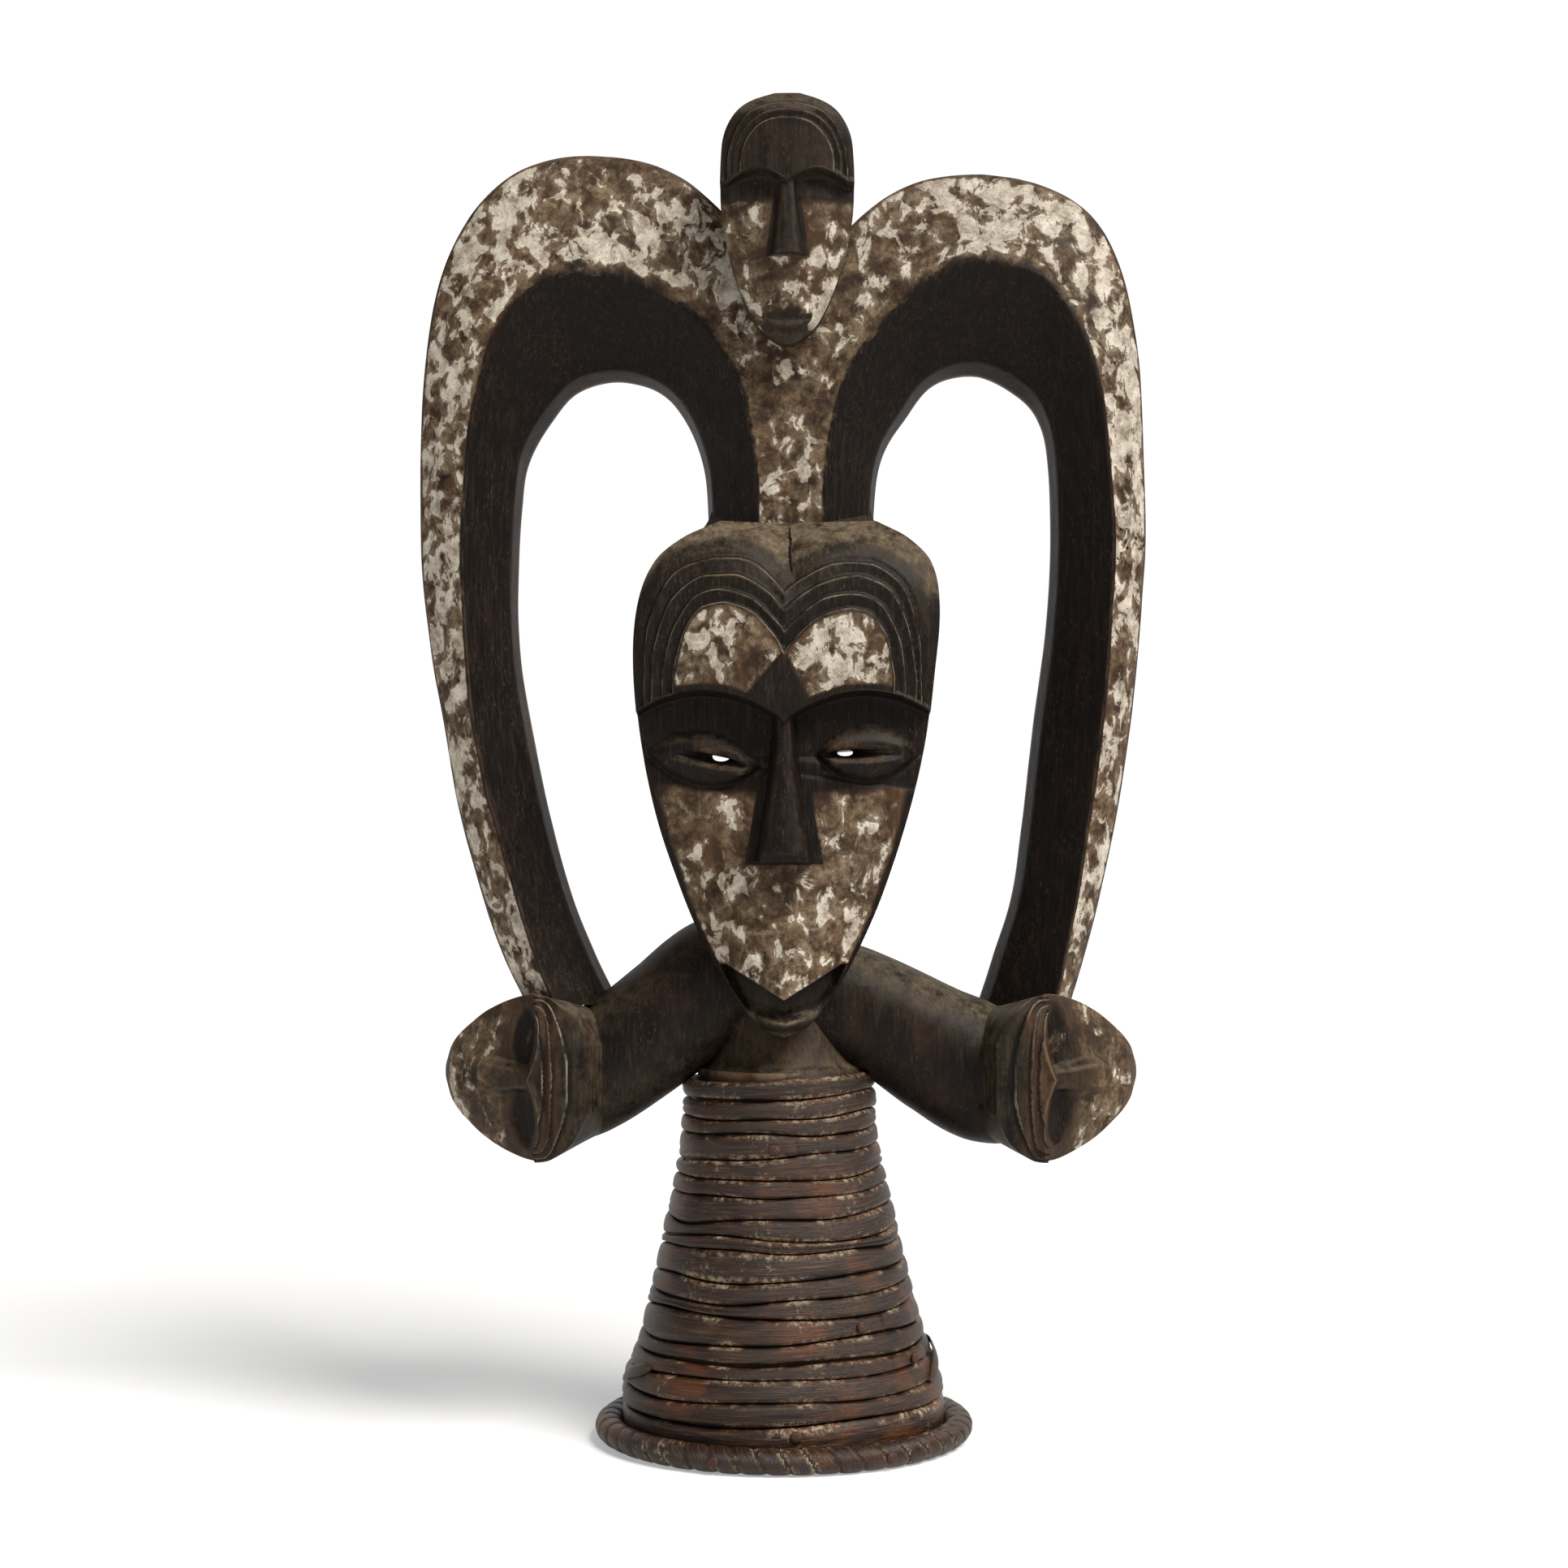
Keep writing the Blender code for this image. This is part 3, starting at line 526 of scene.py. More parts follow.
def add_arm(shell, stations, side):
    rings, marks = [], []
    for share in shares(ARM_STEPS):
        x, height, thick, deep = spline(stations, share)
        before = spline(stations, max(share - 0.02, 0.0))
        after = spline(stations, min(share + 0.02, 1.0))
        along = Vector((after[0] - before[0], 0, after[1] - before[1])).normalized()
        across = Vector((-along.z, 0, along.x)) * side
        ring, ring_marks = [], []
        for turn in turns_round(ARM_SIDES):
            corner = 1.0 + 0.035 * math.cos(4 * (turn - 0.6))
            u = thick * math.cos(turn) * corner
            ring.append(carving(x + across.x * u, deep * math.sin(turn) * corner, height + across.z * u))
            ring_marks.append((0.0, 0.10, 0.75, 0.55 * max(0.0, math.cos(turn) * side * across.z), NO_LINE))
        rings.append(ring)
        marks.append(ring_marks)
    shell.add_rings(rings, marks)


def add_neck(shell):
    rings, marks = [], []
    turns = turns_round(NECK_SIDES)
    for share in shares(40):
        height, half_width, half_depth = spline(NECK, share)
        rings.append([carving(half_width * math.sin(t), -half_depth * math.cos(t), height) for t in turns])
        marks.append([(0.0, 0.25, 0.45, 0.3, NO_LINE)] * NECK_SIDES)
    shell.add_rings(rings, marks)


# The foot


def foot_radius(height):
    flare = FOOT_RADIUS - NECK_RADIUS
    rise = FOOT_HEIGHT - FLARE_START
    profile = (
        (0.0, FOOT_RADIUS - 0.3),
        (FLARE_START, FOOT_RADIUS),
        (FLARE_START + 0.16 * rise, NECK_RADIUS + 0.73 * flare),
        (FLARE_START + 0.46 * rise, NECK_RADIUS + 0.37 * flare),
        (FLARE_START + 0.78 * rise, NECK_RADIUS + 0.05 * flare),
        (FOOT_HEIGHT, NECK_RADIUS),
    )
    return lookup(profile, height)


def foot_place(radius, turn, height):
    lean = FOOT_LEAN * height / FOOT_HEIGHT
    return (lean + radius * math.sin(turn), -radius * math.cos(turn), height)


def add_foot(shell):
    """The foot as one skin: up the outside, and back down inside the hollow."""
    roof = FOOT_HEIGHT - HOLLOW_ROOF
    outside = []
    for share in shares(FOOT_STEPS):
        height = FOOT_HEIGHT * share
        outside.append((foot_radius(height) - FOOT_INSET - 3.5 * blend(182, 190, height), height))
    inside = [(foot_radius(roof * share) - FOOT_WALL, roof * share) for share in shares(FOOT_STEPS)[:-1]]
    for share in (1.0, 0.93, 0.75, 0.5, 0.25):
        inside.append(((foot_radius(roof) - FOOT_WALL) * share, roof + 3 * (1 - share)))
    profile = outside[::-1] + inside
    rings = [[foot_place(radius, t, height) for t in turns_round(FOOT_SIDES)] for radius, height in profile]
    marks = [[(0.0, 0.3, 0.3, 0.1, NO_LINE)] * FOOT_SIDES for _ in profile]
    shell.add_rings(rings, marks)


# The great mask


def brow_height(x):
    return 16.5 * math.sin(math.pi * min(abs(x) / 84.0, 1.0)) ** 0.8


def mask_warp(x, level):
    brow = brow_height(x) * blend(-19, -2, level) * blend(44, 2, level)
    mouth = 0.6 * min(x, 30.0) * blend(-164, -146, level) * blend(-105, -142, level)
    return brow + mouth


def mask_nose(level):
    run = clamp(-level / NOSE_LENGTH)
    return 7.0 + 9.0 * run**1.6


def line_distance(line, x, height):
    """How far a point of the forehead lies outside one of its cut lines."""
    valley, *lobes = line
    top_x, temple_x, top, fullness = lobes[x > 0]
    rise = top - LOBE_BASE
    up = max(height - LOBE_BASE, 0.0) / rise
    across = abs(x) - top_x
    if across < 0:
        fall = ((valley - LOBE_BASE) / rise) ** VALLEY_FULLNESS
        across /= top_x / (1 - fall) ** (1 / VALLEY_FULLNESS)
        fullness = VALLEY_FULLNESS
    else:
        across /= temple_x - top_x
    level = max((abs(across) ** fullness + up**fullness) ** (1 / fullness), 0.02)
    size = math.hypot(abs(x) - top_x, max(height - LOBE_BASE, 0.0))
    turn = math.atan2(up, across)
    cut = 0.45 * abs(math.sin(7 * turn + top)) + 0.7 * wander(turn * 2.3, top, math.copysign(4.0, x))
    return size * (1 - 1 / level) + cut


def line_phase(distances):
    """Where a point lies among the cut lines: 0 on the first, 1 on the second, and so on."""
    if distances[0] < 0:
        return max(distances[0] / LINE_SPREAD, -0.5)
    for i, (here, after) in enumerate(zip(distances, distances[1:])):
        if after < 0:
            return i + here / (here - after)
    return min(len(distances) - 1 + distances[-1] / LINE_SPREAD, len(distances) - 0.5)


def terrace(phase, depth):
    """The relief of the cut lines: a drop outside each one, and a ramp up to the next."""
    part = phase - math.floor(phase)
    if phase < 0:
        return 0.0
    return -depth * blend(-0.06, 0.1, part) * (1 - part) ** 0.8 if part < 0.94 else -depth * 0.06


def in_triangle(x, height):
    """Above 0 inside the small plain triangle between the brows, in millimetres from its edge."""
    slope = 1.2 if x < 0 else 2.0
    return (35.0 - abs(x) * slope - height) / math.hypot(1, slope)


def eye_shape(eye, x, height):
    """How far a point is inside an eye's almond, and its place up and down in it, -1 to 1."""
    middle_x, middle_height, half_length, half_height, tilt = eye
    u = x - middle_x
    v = height - middle_height - tilt * u
    lid = max(0.0, 1 - (abs(u) / half_length) ** 2.1) * half_height
    if lid <= abs(v):
        return 0.0, 0.0, lid - abs(v)
    return lid, v / lid, lid - abs(v)


def slit_radius(slit, x, height):
    middle_x, middle_height, half_length, half_height, tilt = slit
    u = x - middle_x
    v = height - middle_height - tilt * u
    return math.sqrt((u / half_length) ** 2 + (v / half_height) ** 2), u, v


def eyes_relief(x, height, level):
    """What the eyes add to the mask's relief, and what their creases and slits take off."""
    out = 0.0
    for eye in EYES:
        lid, place, depth = eye_shape(eye, x, height)
        if lid > 0:
            out += 8.0 * math.sqrt(1 - place**2) * min(1.0, lid / 8) * blend(-0.6, -2.5, level)
        out -= 0.9 * bump(depth, 1.6) * blend(-0.5, -3, level)
    for slit in SLITS:
        out -= 2.2 * bump(slit_radius(slit, x, height)[0] - 0.8, 0.55)
    return out


def forehead_relief(x, height, level):
    """The cut lines over the lobes, and the small raised triangle between the brows."""
    phase = line_phase([line_distance(line, x, height) for line in FOREHEAD_LINES])
    triangle = 0.9 * blend(-1.2, 0.3, in_triangle(x, height))
    return terrace(phase, LINE_STEP) * blend(-0.4, 1.5, level) + triangle


def mask_relief(x, height, share, level):
    """How far the mask's front stands out from its rim, in millimetres."""
    lower = lookup(CHEEKS, height) * (1 - share**2.2)
    lower += 2.2 * math.exp(-abs(x) / 5.0) * blend(-60, -100, height)
    upper = lookup(FOREHEAD, height) * (1 - 0.6 * share**2.6) - 9.0 * blend(50, 88, height) * bump(x, 13)
    out = mix(lower, upper, blend(-3.4, -0.8, level))
    if level > -0.4:
        out += forehead_relief(x, height, level)
    if level < 0:
        out += eyes_relief(x, height, level)
    half = mask_nose(level)
    if -NOSE_LENGTH - 0.1 < level < 0 and abs(x) < half + 0.1:
        top = 24.5 - 10.0 * level / NOSE_LENGTH - 4.6 * (x / half) ** 2
        top -= 3.0 * blend(-NOSE_LENGTH + 5.0, -NOSE_LENGTH, level)
        out = mix(out, max(out, top), blend(0.0, 4.2, half - abs(x)))
    if -157 < level < -143.5 and share < 0.96:
        recess = blend(-143.6, -144.8, level) * blend(-157, -153, level)
        out -= 10.0 * recess * blend(0.96, 0.8, share)
    if level < -155:
        out += 1.6 * bump(level + 157, 1.8) * blend(0.97, 0.7, share)
    return out


def mask_marks(x, height, share, level):
    """Kaolin on the lobes and the face, soot round the eyes, a dusting on the slope over the forehead;
    painted shade in the mouth's recess, and a painted highlight along the mouth's lower rim and the chin's
    edge.
    """
    if level > -1.0:
        distances = [line_distance(line, x, height) for line in FOREHEAD_LINES]
        phase = line_phase(distances)
        lobe = blend(-0.4, -2.6, distances[0]) * blend(-0.3, -1.6, in_triangle(x, height))
        lobe *= blend(1.0, 3.5, level)
        slope = blend(8.5, 13.5, distances[-1]) * blend(60, 72, height)
        side = blend(0, 30, x)
        kaolin = lobe * mix(0.82, 0.94, side)
        return (kaolin, 0.8 * lobe + 0.1, 0.85 - 0.8 * lobe - 0.5 * slope, 0.06 + 1.2 * slope, phase)
    # The kaolin stops at the mouth's line, so below it the soot mark fills the mouth's recess as painted
    # shade, and covers the chin.
    face = blend(-34, -42, height - 0.08 * abs(x)) * blend(-144.6, -143.2, level)
    face *= blend(0.985, 0.90, share) * blend(-3.2, -4.8, mask_nose(level) - abs(x) if level > -74 else -9)
    eye = max(eye_shape(eye, x, height)[2] for eye in EYES)
    face *= blend(2.0, -3.0, eye)
    kaolin = face * (0.74 + 0.12 * blend(-85, -125, height) + 0.10 * blend(0.6, 0.85, share))
    # Painted highlight along the mouth's lower rim and the chin's edge, given through the dust mark.
    painted_lip_highlight = bump(level + 156.6, 1.3) + 0.7 * bump(level + 162.6, 1.2)
    return (kaolin, 0.95 * face, 0.95 * (1 - face), 0.12 * blend(-145, -150, level) + 1.1 * painted_lip_highlight, NO_LINE)


def fine_levels(low, high, step, creases):
    """Levels one step apart, and closer beside each crease."""
    levels = [low]
    while levels[-1] < high - 0.3:
        near = any(abs(levels[-1] + 0.3 - middle) < reach for middle, reach in creases)
        levels.append(min(high, levels[-1] + (0.5 if near else step)))
    return levels


def side_columns(half, nose, count):
    """Distances from the middle: close beside the nose's edge, and closer again at the rim."""
    nose = min(nose, half * 0.5)
    inner = [nose * share for share in (0.2, 0.4, 0.6, 0.74, 0.86, 0.94, 1.0)]
    start = nose + min(0.6, half * 0.05)
    outer = [start]
    for i in range(1, count + 1):
        share = i / count
        outer.append(start + (half - start) * (1 - (1 - share) ** 1.18))
    return inner + outer


def relief_rows(levels, outline, nose, warp, count):
    """Grid of (x, height, share, level) rows for a relief that follows an outline and carved lines."""
    sides = [[(row[0], row[1]) for row in outline], [(row[0], row[-1]) for row in outline]]
    high = levels[-1]
    rows = []
    for level in levels:
        reach = []
        for side in (0, 1):
            half = lookup(sides[side], level)
            for _ in range(6):
                half = lookup(sides[side], min(level + warp(half, level), high))
            reach.append(half)
        across = [-x for x in reversed(side_columns(reach[0], nose(level), count))]
        across += [0.0] + side_columns(reach[1], nose(level), count)
        rows.append([(x, level + warp(abs(x), level), abs(x) / reach[x > 0], level) for x in across])
    return rows


def hollow_depth(x, height):
    """Depth of the mask's back: the flat rim, and the hollow that is dug into it."""
    low, high = -92.0, 84.0
    share = (height - low) / (high - low)
    if not 0.0 < share < 1.0:
        return MASK_BACK_DEPTH
    half = lookup([(row[0], min(row[1:])) for row in MASK_OUTLINE], height) - MASK_WALL
    half *= math.sqrt(max(math.sin(math.pi * (0.04 + 0.92 * share)), 0.0))
    inside = min(half - abs(x), (height - low) * 0.8 + 4, (high - height) * 0.8 + 4)
    if inside <= 0:
        return MASK_BACK_DEPTH
    return MASK_BACK_DEPTH - 44.0 * (1 - math.exp(-inside / 5.0))


def border_indices(rows, columns):
    border = list(range(columns))
    border += [i * columns + columns - 1 for i in range(1, rows)]
    border += [(rows - 1) * columns + j for j in range(columns - 2, -1, -1)]
    border += [i * columns for i in range(rows - 2, 0, -1)]
    return border


def add_relief_block(shell, rows, front, back, marks, wall_mark, wall_rings, skipped=()):
    """A closed block: the front grid, a wall round it, and a back grid of the same layout."""
    count, columns = len(rows), len(rows[0])
    flat = [cell for row in rows for cell in row]
    front_points = [front(*cell) for cell in flat]
    back_points = [back(*cell) for cell in flat]
    first = shell.add_points(front_points, [marks(*cell) for cell in flat])
    last = shell.add_points(back_points, [(0.0, 0.2, 0.4, 0.2, NO_LINE)] * len(flat))
    skipped = set(skipped)
    for i in range(count - 1):
        for j in range(columns - 1):
            if (i, j) in skipped:
                continue
            a, b = i * columns + j, (i + 1) * columns + j
            shell.faces.append((first + a, first + a + 1, first + b + 1, first + b))
            shell.faces.append((last + b, last + b + 1, last + a + 1, last + a))
    border = border_indices(count, columns)
    previous = [first + k for k in border]
    for step in range(1, wall_rings + 1):
        if step == wall_rings:
            ring = [last + k for k in border]
        else:
            share = step / wall_rings
            points = [Vector(front_points[k]).lerp(Vector(back_points[k]), share)[:] for k in border]
            start = shell.add_points(points, [wall_mark] * len(border))
            ring = [start + k for k in range(len(border))]
        for k in range(len(border)):
            n = (k + 1) % len(border)
            shell.faces.append((previous[k], previous[n], ring[n], ring[k]))
        previous = ring
    return first, last


def hole_loop(cells, columns):
    """The grid corners round a set of cells, in order."""
    links = {}
    cells = set(cells)
    below = columns + 1
    for i, j in cells:
        corner = i * columns + j
        sides = ((i - 1, j, 0, 1), (i, j + 1, 1, below), (i + 1, j, below, columns), (i, j - 1, columns, 0))
        for row, column, start, finish in sides:
            if (row, column) not in cells:
                links[corner + start] = corner + finish
    start = next(iter(links))
    loop = [start]
    while links[loop[-1]] != start:
        loop.append(links[loop[-1]])
    return loop


def slit_cells(rows, slit):
    """The cells of the mask's grid that one of its slits cuts away."""
    cells = []
    for i in range(len(rows) - 1):
        for j in range(len(rows[0]) - 1):
            corners = (rows[i][j], rows[i][j + 1], rows[i + 1][j], rows[i + 1][j + 1])
            x, height = (sum(corner[axis] for corner in corners) / 4 for axis in (0, 1))
            if slit_radius(slit, x, height)[0] < SLIT_CUT:
                cells.append((i, j))
    return cells


def snap_to_slit(rows, slit, loop):
    """Moves the grid corners round a hole onto the slit's own curve."""
    for k in loop:
        i, j = divmod(k, len(rows[0]))
        x, height, share, level = rows[i][j]
        radius, u, v = slit_radius(slit, x, height)
        rows[i][j] = (slit[0] + u / radius, slit[1] + (v + slit[4] * u) / radius, share, level)


def add_throat(shell, rows, slit, throat, loop, first, last):
    """The walls of a pierced slit, which meet at its narrow throat."""
    ring = []
    for k in loop:
        i, j = divmod(k, len(rows[0]))
        _, u, v = slit_radius(slit, rows[i][j][0], rows[i][j][1])
        turn = math.atan2(v / slit[3], u / slit[2])
        x = throat[0] + throat[2] * math.cos(turn)
        height = throat[1] + throat[3] * math.sin(turn)
        ring.append(carving(x, MASK_RIM_DEPTH - THROAT_SETBACK, MASK_BROW_HEIGHT + height))
    start = shell.add_points(ring, [(0.0, 0.0, 1.0, 0.0, NO_LINE)] * len(ring))
    for k in range(len(loop)):
        n = (k + 1) % len(loop)
        shell.faces.append((first + loop[n], first + loop[k], start + k, start + n))
        shell.faces.append((start + n, start + k, last + loop[k], last + loop[n]))


def add_mask(shell):
    creases = ((-2.0, 2.6), (-144.2, 1.6), (-155.5, 1.6), (-NOSE_LENGTH, 1.4))
    levels = fine_levels(-164.0, 105.0, 1.0, creases)
    rows = relief_rows(levels, MASK_OUTLINE, mask_nose, mask_warp, 60)
    middle = (levels[0] + levels[-1]) / 2
    cells = [slit_cells(rows, slit) for slit in SLITS]
    loops = [hole_loop(some, len(rows[0])) for some in cells]
    for slit, loop in zip(SLITS, loops):
        snap_to_slit(rows, slit, loop)

    def front(x, height, share, level):
        return carving(x, MASK_RIM_DEPTH - mask_relief(x, height, share, level), MASK_BROW_HEIGHT + height)

    def back(x, height, share, level):
        x, place = x * MASK_TAPER, middle + (height - middle) * MASK_TAPER
        return carving(x, hollow_depth(x, place), MASK_BROW_HEIGHT + place)

    wall = (0.0, 0.15, 0.6, 0.25, NO_LINE)
    first, last = add_relief_block(shell, rows, front, back, mask_marks, wall, 22, cells[0] + cells[1])
    for slit, throat, loop in zip(SLITS, THROATS, loops):
        add_throat(shell, rows, slit, throat, loop, first, last)


# The three small heads


def add_small_head(shell, outline, rise, place, depths, taper, details):
    """A small mask: domed forehead with cut arcs, brow, eyes, nose, mouth and pointed chin."""
    chin, crown = outline[0][0], outline[-1][0]
    nose_end = chin * 0.465
    broad = max(row[1] for row in outline)
    middle = (chin + crown) / 2
    rim, back_depth = depths

    def nose(level):
        return broad * (0.13 + 0.15 * clamp(level / nose_end))

    def warp(x, level):
        brow = details["brow"] * broad * math.sin(math.pi * min(1.1 * x / broad, 1.0))
        return brow * blend(-0.25 * broad, 0, level) * blend(crown * 0.8, 2, level)

    def phase_at(x, height):
        distances = []
        for reach, top in details["lines"]:
            across, up = x / reach, max(height - details["line_base"], 0) / (top - details["line_base"])
            level = max((abs(across) ** 2.3 + up**2.3) ** (1 / 2.3), 0.02)
            size = math.hypot(x, max(height - details["line_base"], 0))
            wobble = 0.35 * wander(math.atan2(up, across) * 2.0, broad, top)
            distances.append(size * (1 - 1 / level) + wobble)
        return line_phase(distances)

    def relief(x, height, share, level):
        forehead = rise * (1 - 0.5 * share**2.4) * blend(crown + 2, crown - 14, height)
        face = rise * (0.55 - 0.1 * blend(0, chin, height)) * (1 - 0.8 * share**2.2)
        face *= blend(chin - 4, chin + 12, height)
        out = mix(face, forehead, blend(-3.2, -0.8, level))
        if level > 0:
            out += terrace(phase_at(x, height), details["line_step"]) * blend(0, 1.5, level)
            out += details["brow_band"] * bump(level - 2.2, 1.8)
        for side in (-1, 1):
            eye_x, eye_height, half_length, half_height = details["eye"]
            u, v = (x * side - eye_x) / half_length, (height - eye_height) / half_height
            inside = 1 - u * u - abs(v) ** 1.6
            if inside > 0 and level < -2:
                out += details["eye_rise"] * math.sqrt(inside) * blend(-2, -4, level)
            out -= 0.5 * bump(inside, 0.16) * blend(-2, -4, level)
        half = nose(level)
        if nose_end - 0.2 < level < 0 and abs(x) < half + 0.1:
            top = rise * (0.85 + 0.3 * level / nose_end) - 0.9 * (x / half) ** 2
            out = mix(out, max(out, top), blend(0, 0.45 * half, half - abs(x)))
        mouth = 1 - (x / (broad * 0.34)) ** 2 - ((height - details["mouth"]) / 3.4) ** 2
        if mouth > 0:
            out -= 2.4 * math.sqrt(mouth)
        return out

    def front(x, height, share, level):
        return place(x, rim - relief(x, height, share, level), height)

    def back(x, height, share, level):
        return place(x * taper, back_depth, middle + (height - middle) * taper)

    def marks(x, height, share, level):
        face = blend(-0.22 * broad, -0.34 * broad, level) * blend(chin + 3, chin + 8, height)
        face *= blend(-0.5, -2.0, nose(level) - abs(x) if level > nose_end else -9)
        phase = phase_at(x, height) if level > -1 else NO_LINE
        return (*details["marks"](x, height, share, level, face), phase)

    creases = ((-2.0, 2.4), (nose_end, 1.2))
    levels = fine_levels(chin, crown, 1.1, creases)
    rows = relief_rows(levels, outline, nose, warp, 30)
    add_relief_block(shell, rows, front, back, marks, details["wall"], 18)


def crown_marks(x, height, share, level, face):
    if level > -1:
        return (0.0, 0.1, 0.65, 0.15)
    inside = 1 - (x / 13) ** 2 - ((height + 72) / 8.5) ** 2
    patch = blend(-0.1, 0.5, inside + 0.5 * wander(x * 0.3, height * 0.3))
    kaolin = face * (0.76 + 0.24 * blend(-30, -55, height)) * (1 - patch)
    soot = 0.85 - 0.75 * face + 0.5 * patch
    return (kaolin, 0.8 * face * (1 - patch), soot, 0.15 + 0.6 * blend(-76, -80, height))


def end_marks(x, height, share, level, face):
    if level > -1:
        top = blend(14, 20, height)
        return (0.0, 0.25 - 0.2 * top, 0.35 + 0.5 * top, 0.2 + 0.1 * top)
    outer = blend(-19, -27, height)
    across, above = (abs(x) - 20.0) / 17.0, (height + 9.5) / 8.0
    eye = blend(0.0, 0.3, 1 - across * across - abs(above) ** 1.6)
    kaolin = face * mix(0.35, 0.80, outer)
    return (kaolin, 0.35 + 0.5 * outer, 0.4 * (1 - outer) + 0.5 * eye, 0.25 * (1 - eye))


def add_crown_head(shell):
    details = {
        "brow": 0.21, "brow_band": 0.0, "lines": ((24.5, 32.0), (28.0, 36.0), (31.0, 40.5)),
        "line_base": 5.0, "line_step": 2.0, "eye": (14.5, -8.5, 10.0, 4.0), "eye_rise": 0.6,
        "mouth": -70, "marks": crown_marks, "wall": (0.0, 0.3, 0.5, 0.3, NO_LINE),
    }  # fmt: skip

    def place(x, depth, height):
        return carving(CROWN_X + x, depth, CROWN_BROW_HEIGHT + height)

    add_small_head(shell, CROWN_OUTLINE, 17.0, place, (-46.0, 6.0), 0.96, details)


def add_end_head(shell, side, brow_x):
    details = {
        "brow": 0.15, "brow_band": 2.6, "lines": ((35.0, 10.5), (39.0, 15.5), (41.5, 21.0)),
        "line_base": 1.0, "line_step": 2.2, "eye": (20.0, -9.5, 17.0, 8.0), "eye_rise": -3.6,
        "mouth": -54, "marks": end_marks, "wall": (0.0, 0.1, 0.7, 0.5, NO_LINE),
    }  # fmt: skip
    cosine, sine = math.cos(END_TURN), math.sin(END_TURN)

    def place(across, depth, along):
        x = brow_x - along * cosine - depth * sine
        y = -END_DEPTH - along * sine + depth * cosine
        return carving(side * x, y, END_HEIGHT - across)

    add_small_head(shell, END_OUTLINE, 15.0, place, (0.0, 62.0), 0.7, details)


# The winding, the hoop and the nails


def strip_low(turns, theta):
    """Height of the strip's lower edge, with an uneven pitch and a hand-pulled wobble."""
    pitch = (FOOT_HEIGHT - STRIP_START) / (STRIP_TURNS + 1)
    hold = math.sin(math.pi * clamp(turns / (STRIP_TURNS + 1))) ** 0.5
    uneven = 0.17 * math.sin(turns * 2.1 + 0.7) + 0.10 * math.sin(turns * 0.9)
    uneven += 0.26 * wander(turns * 1.1, math.cos(theta) * 1.1, math.sin(theta) * 1.1)
    return STRIP_START + pitch * (turns + uneven * hold)


def strip_ring(turns, start, end):
    """The strip's section at a number of turns from the bottom, with its marks."""
    theta = 2 * math.pi * turns + math.pi
    low = min(strip_low(turns, theta), 1.0 + FOOT_HEIGHT * blend(0.8, 2.0, turns))
    high = min(strip_low(turns + 1, theta), FOOT_HEIGHT) - 0.2
    bottom = low + max(0.0, 0.2 + 1.3 * wander(turns * 2.1, 5.0))
    top = high - max(0.0, 0.1 + 0.9 * wander(turns * 1.7, 25.0))
    tilt = 2.1 * wander(turns * 1.3, 12.0)
    swell = 0.5 * wander(turns * 2.9, 60.0)
    split = clamp(0.25 + wander(turns * 0.9, 31.0) * 1.9)
    split_place = 0.42 + 0.26 * wander(turns * 0.6, 44.0)
    tuck = 1.5 * blend(start + 0.05, start, turns)
    over = 0.5 * blend(end - 0.05, end, turns)
    ring, marks = [], []
    for across, lift in STRIP_PROFILE:
        height = mix(bottom, top, across)
        groove = 1.5 * split * bump(across - split_place, 0.05)
        thickness = STRIP_THICKNESS - 0.4 + swell + tilt * (across - 0.5)
        radius = foot_radius(height) + 0.5 + thickness * lift
        radius += 0.16 * wander(turns * 19, across * 2.0) + (over - tuck) * lift - groove
        ring.append(foot_place(radius, theta, height))
        marks.append((theta * foot_radius(low) * MM, across, turns))
    return ring, marks


def add_strip(shell, start, end):
    """One rattan strip, wound from start to end in turns, its end over the next one's start."""
    last = min(end + STRIP_OVERLAP, STRIP_TURNS)
    steps = math.ceil((last - start) * STEPS_IN_A_TURN)
    sections = [strip_ring(mix(start, last, share), start, end) for share in shares(steps)]
    shell.add_rings(*zip(*sections))


def add_loose_strip(shell, start_degrees, end_degrees, start_height, end_height, number):
    """A short crossing end that lies over the other strips."""
    rings, marks = [], []
    for share in shares(40):
        theta = math.radians(mix(start_degrees, end_degrees, share))
        middle = mix(start_height, end_height, share) + 1.2 * math.sin(share * math.pi)
        width = 3.4 * min(1.0, 0.3 + 4 * share, 0.3 + 4 * (1 - share))
        lift = 4.6 + 1.3 * math.sin(share * math.pi)
        ring, ring_marks = [], []
        for turn in turns_round(10):
            height = middle + width * math.cos(turn)
            ring.append(foot_place(foot_radius(height) + lift + 0.8 * math.sin(turn), theta, height))
            ring_marks.append((share * 0.06, 0.5 + 0.45 * math.cos(turn), number))
        rings.append(ring)
        marks.append(ring_marks)
    shell.add_rings(rings, marks)


def add_hoop(shell):
    """The hoop with slanted wraps of split cane over its core."""
    rings, marks = [], []
    for turn in turns_round(HOOP_WRAPS * STEPS_IN_A_WRAP):
        ring, ring_marks = [], []
        for angle in turns_round(HOOP_SIDES):
            slant = 0.30 * math.sin(angle - 0.5) + 0.16 * wander(math.cos(turn) * 3, math.sin(turn) * 3, 2.0)
            phase = HOOP_WRAPS * turn / (2 * math.pi) + slant
            number = math.floor(phase) % HOOP_WRAPS
            wrap = phase - math.floor(phase)
            lobe = 1 - abs(2 * wrap - 1) ** 5
            cover = 0.25 * wander(number * 1.7, 3.0)
            tube = HOOP_TUBE - 1.0 * (1 - lobe) + cover - 0.25
            radius = HOOP_RADIUS + tube * HOOP_SPREAD * math.cos(angle)
            height = max(0.0, HOOP_TUBE + tube * math.sin(angle))
            ring.append((radius * math.sin(turn), -radius * math.cos(turn), height))
            ring_marks.append((angle * 0.01, wrap, number))
        rings.append(ring)
        marks.append(ring_marks)
    shell.add_rings(rings, marks, closed=True)


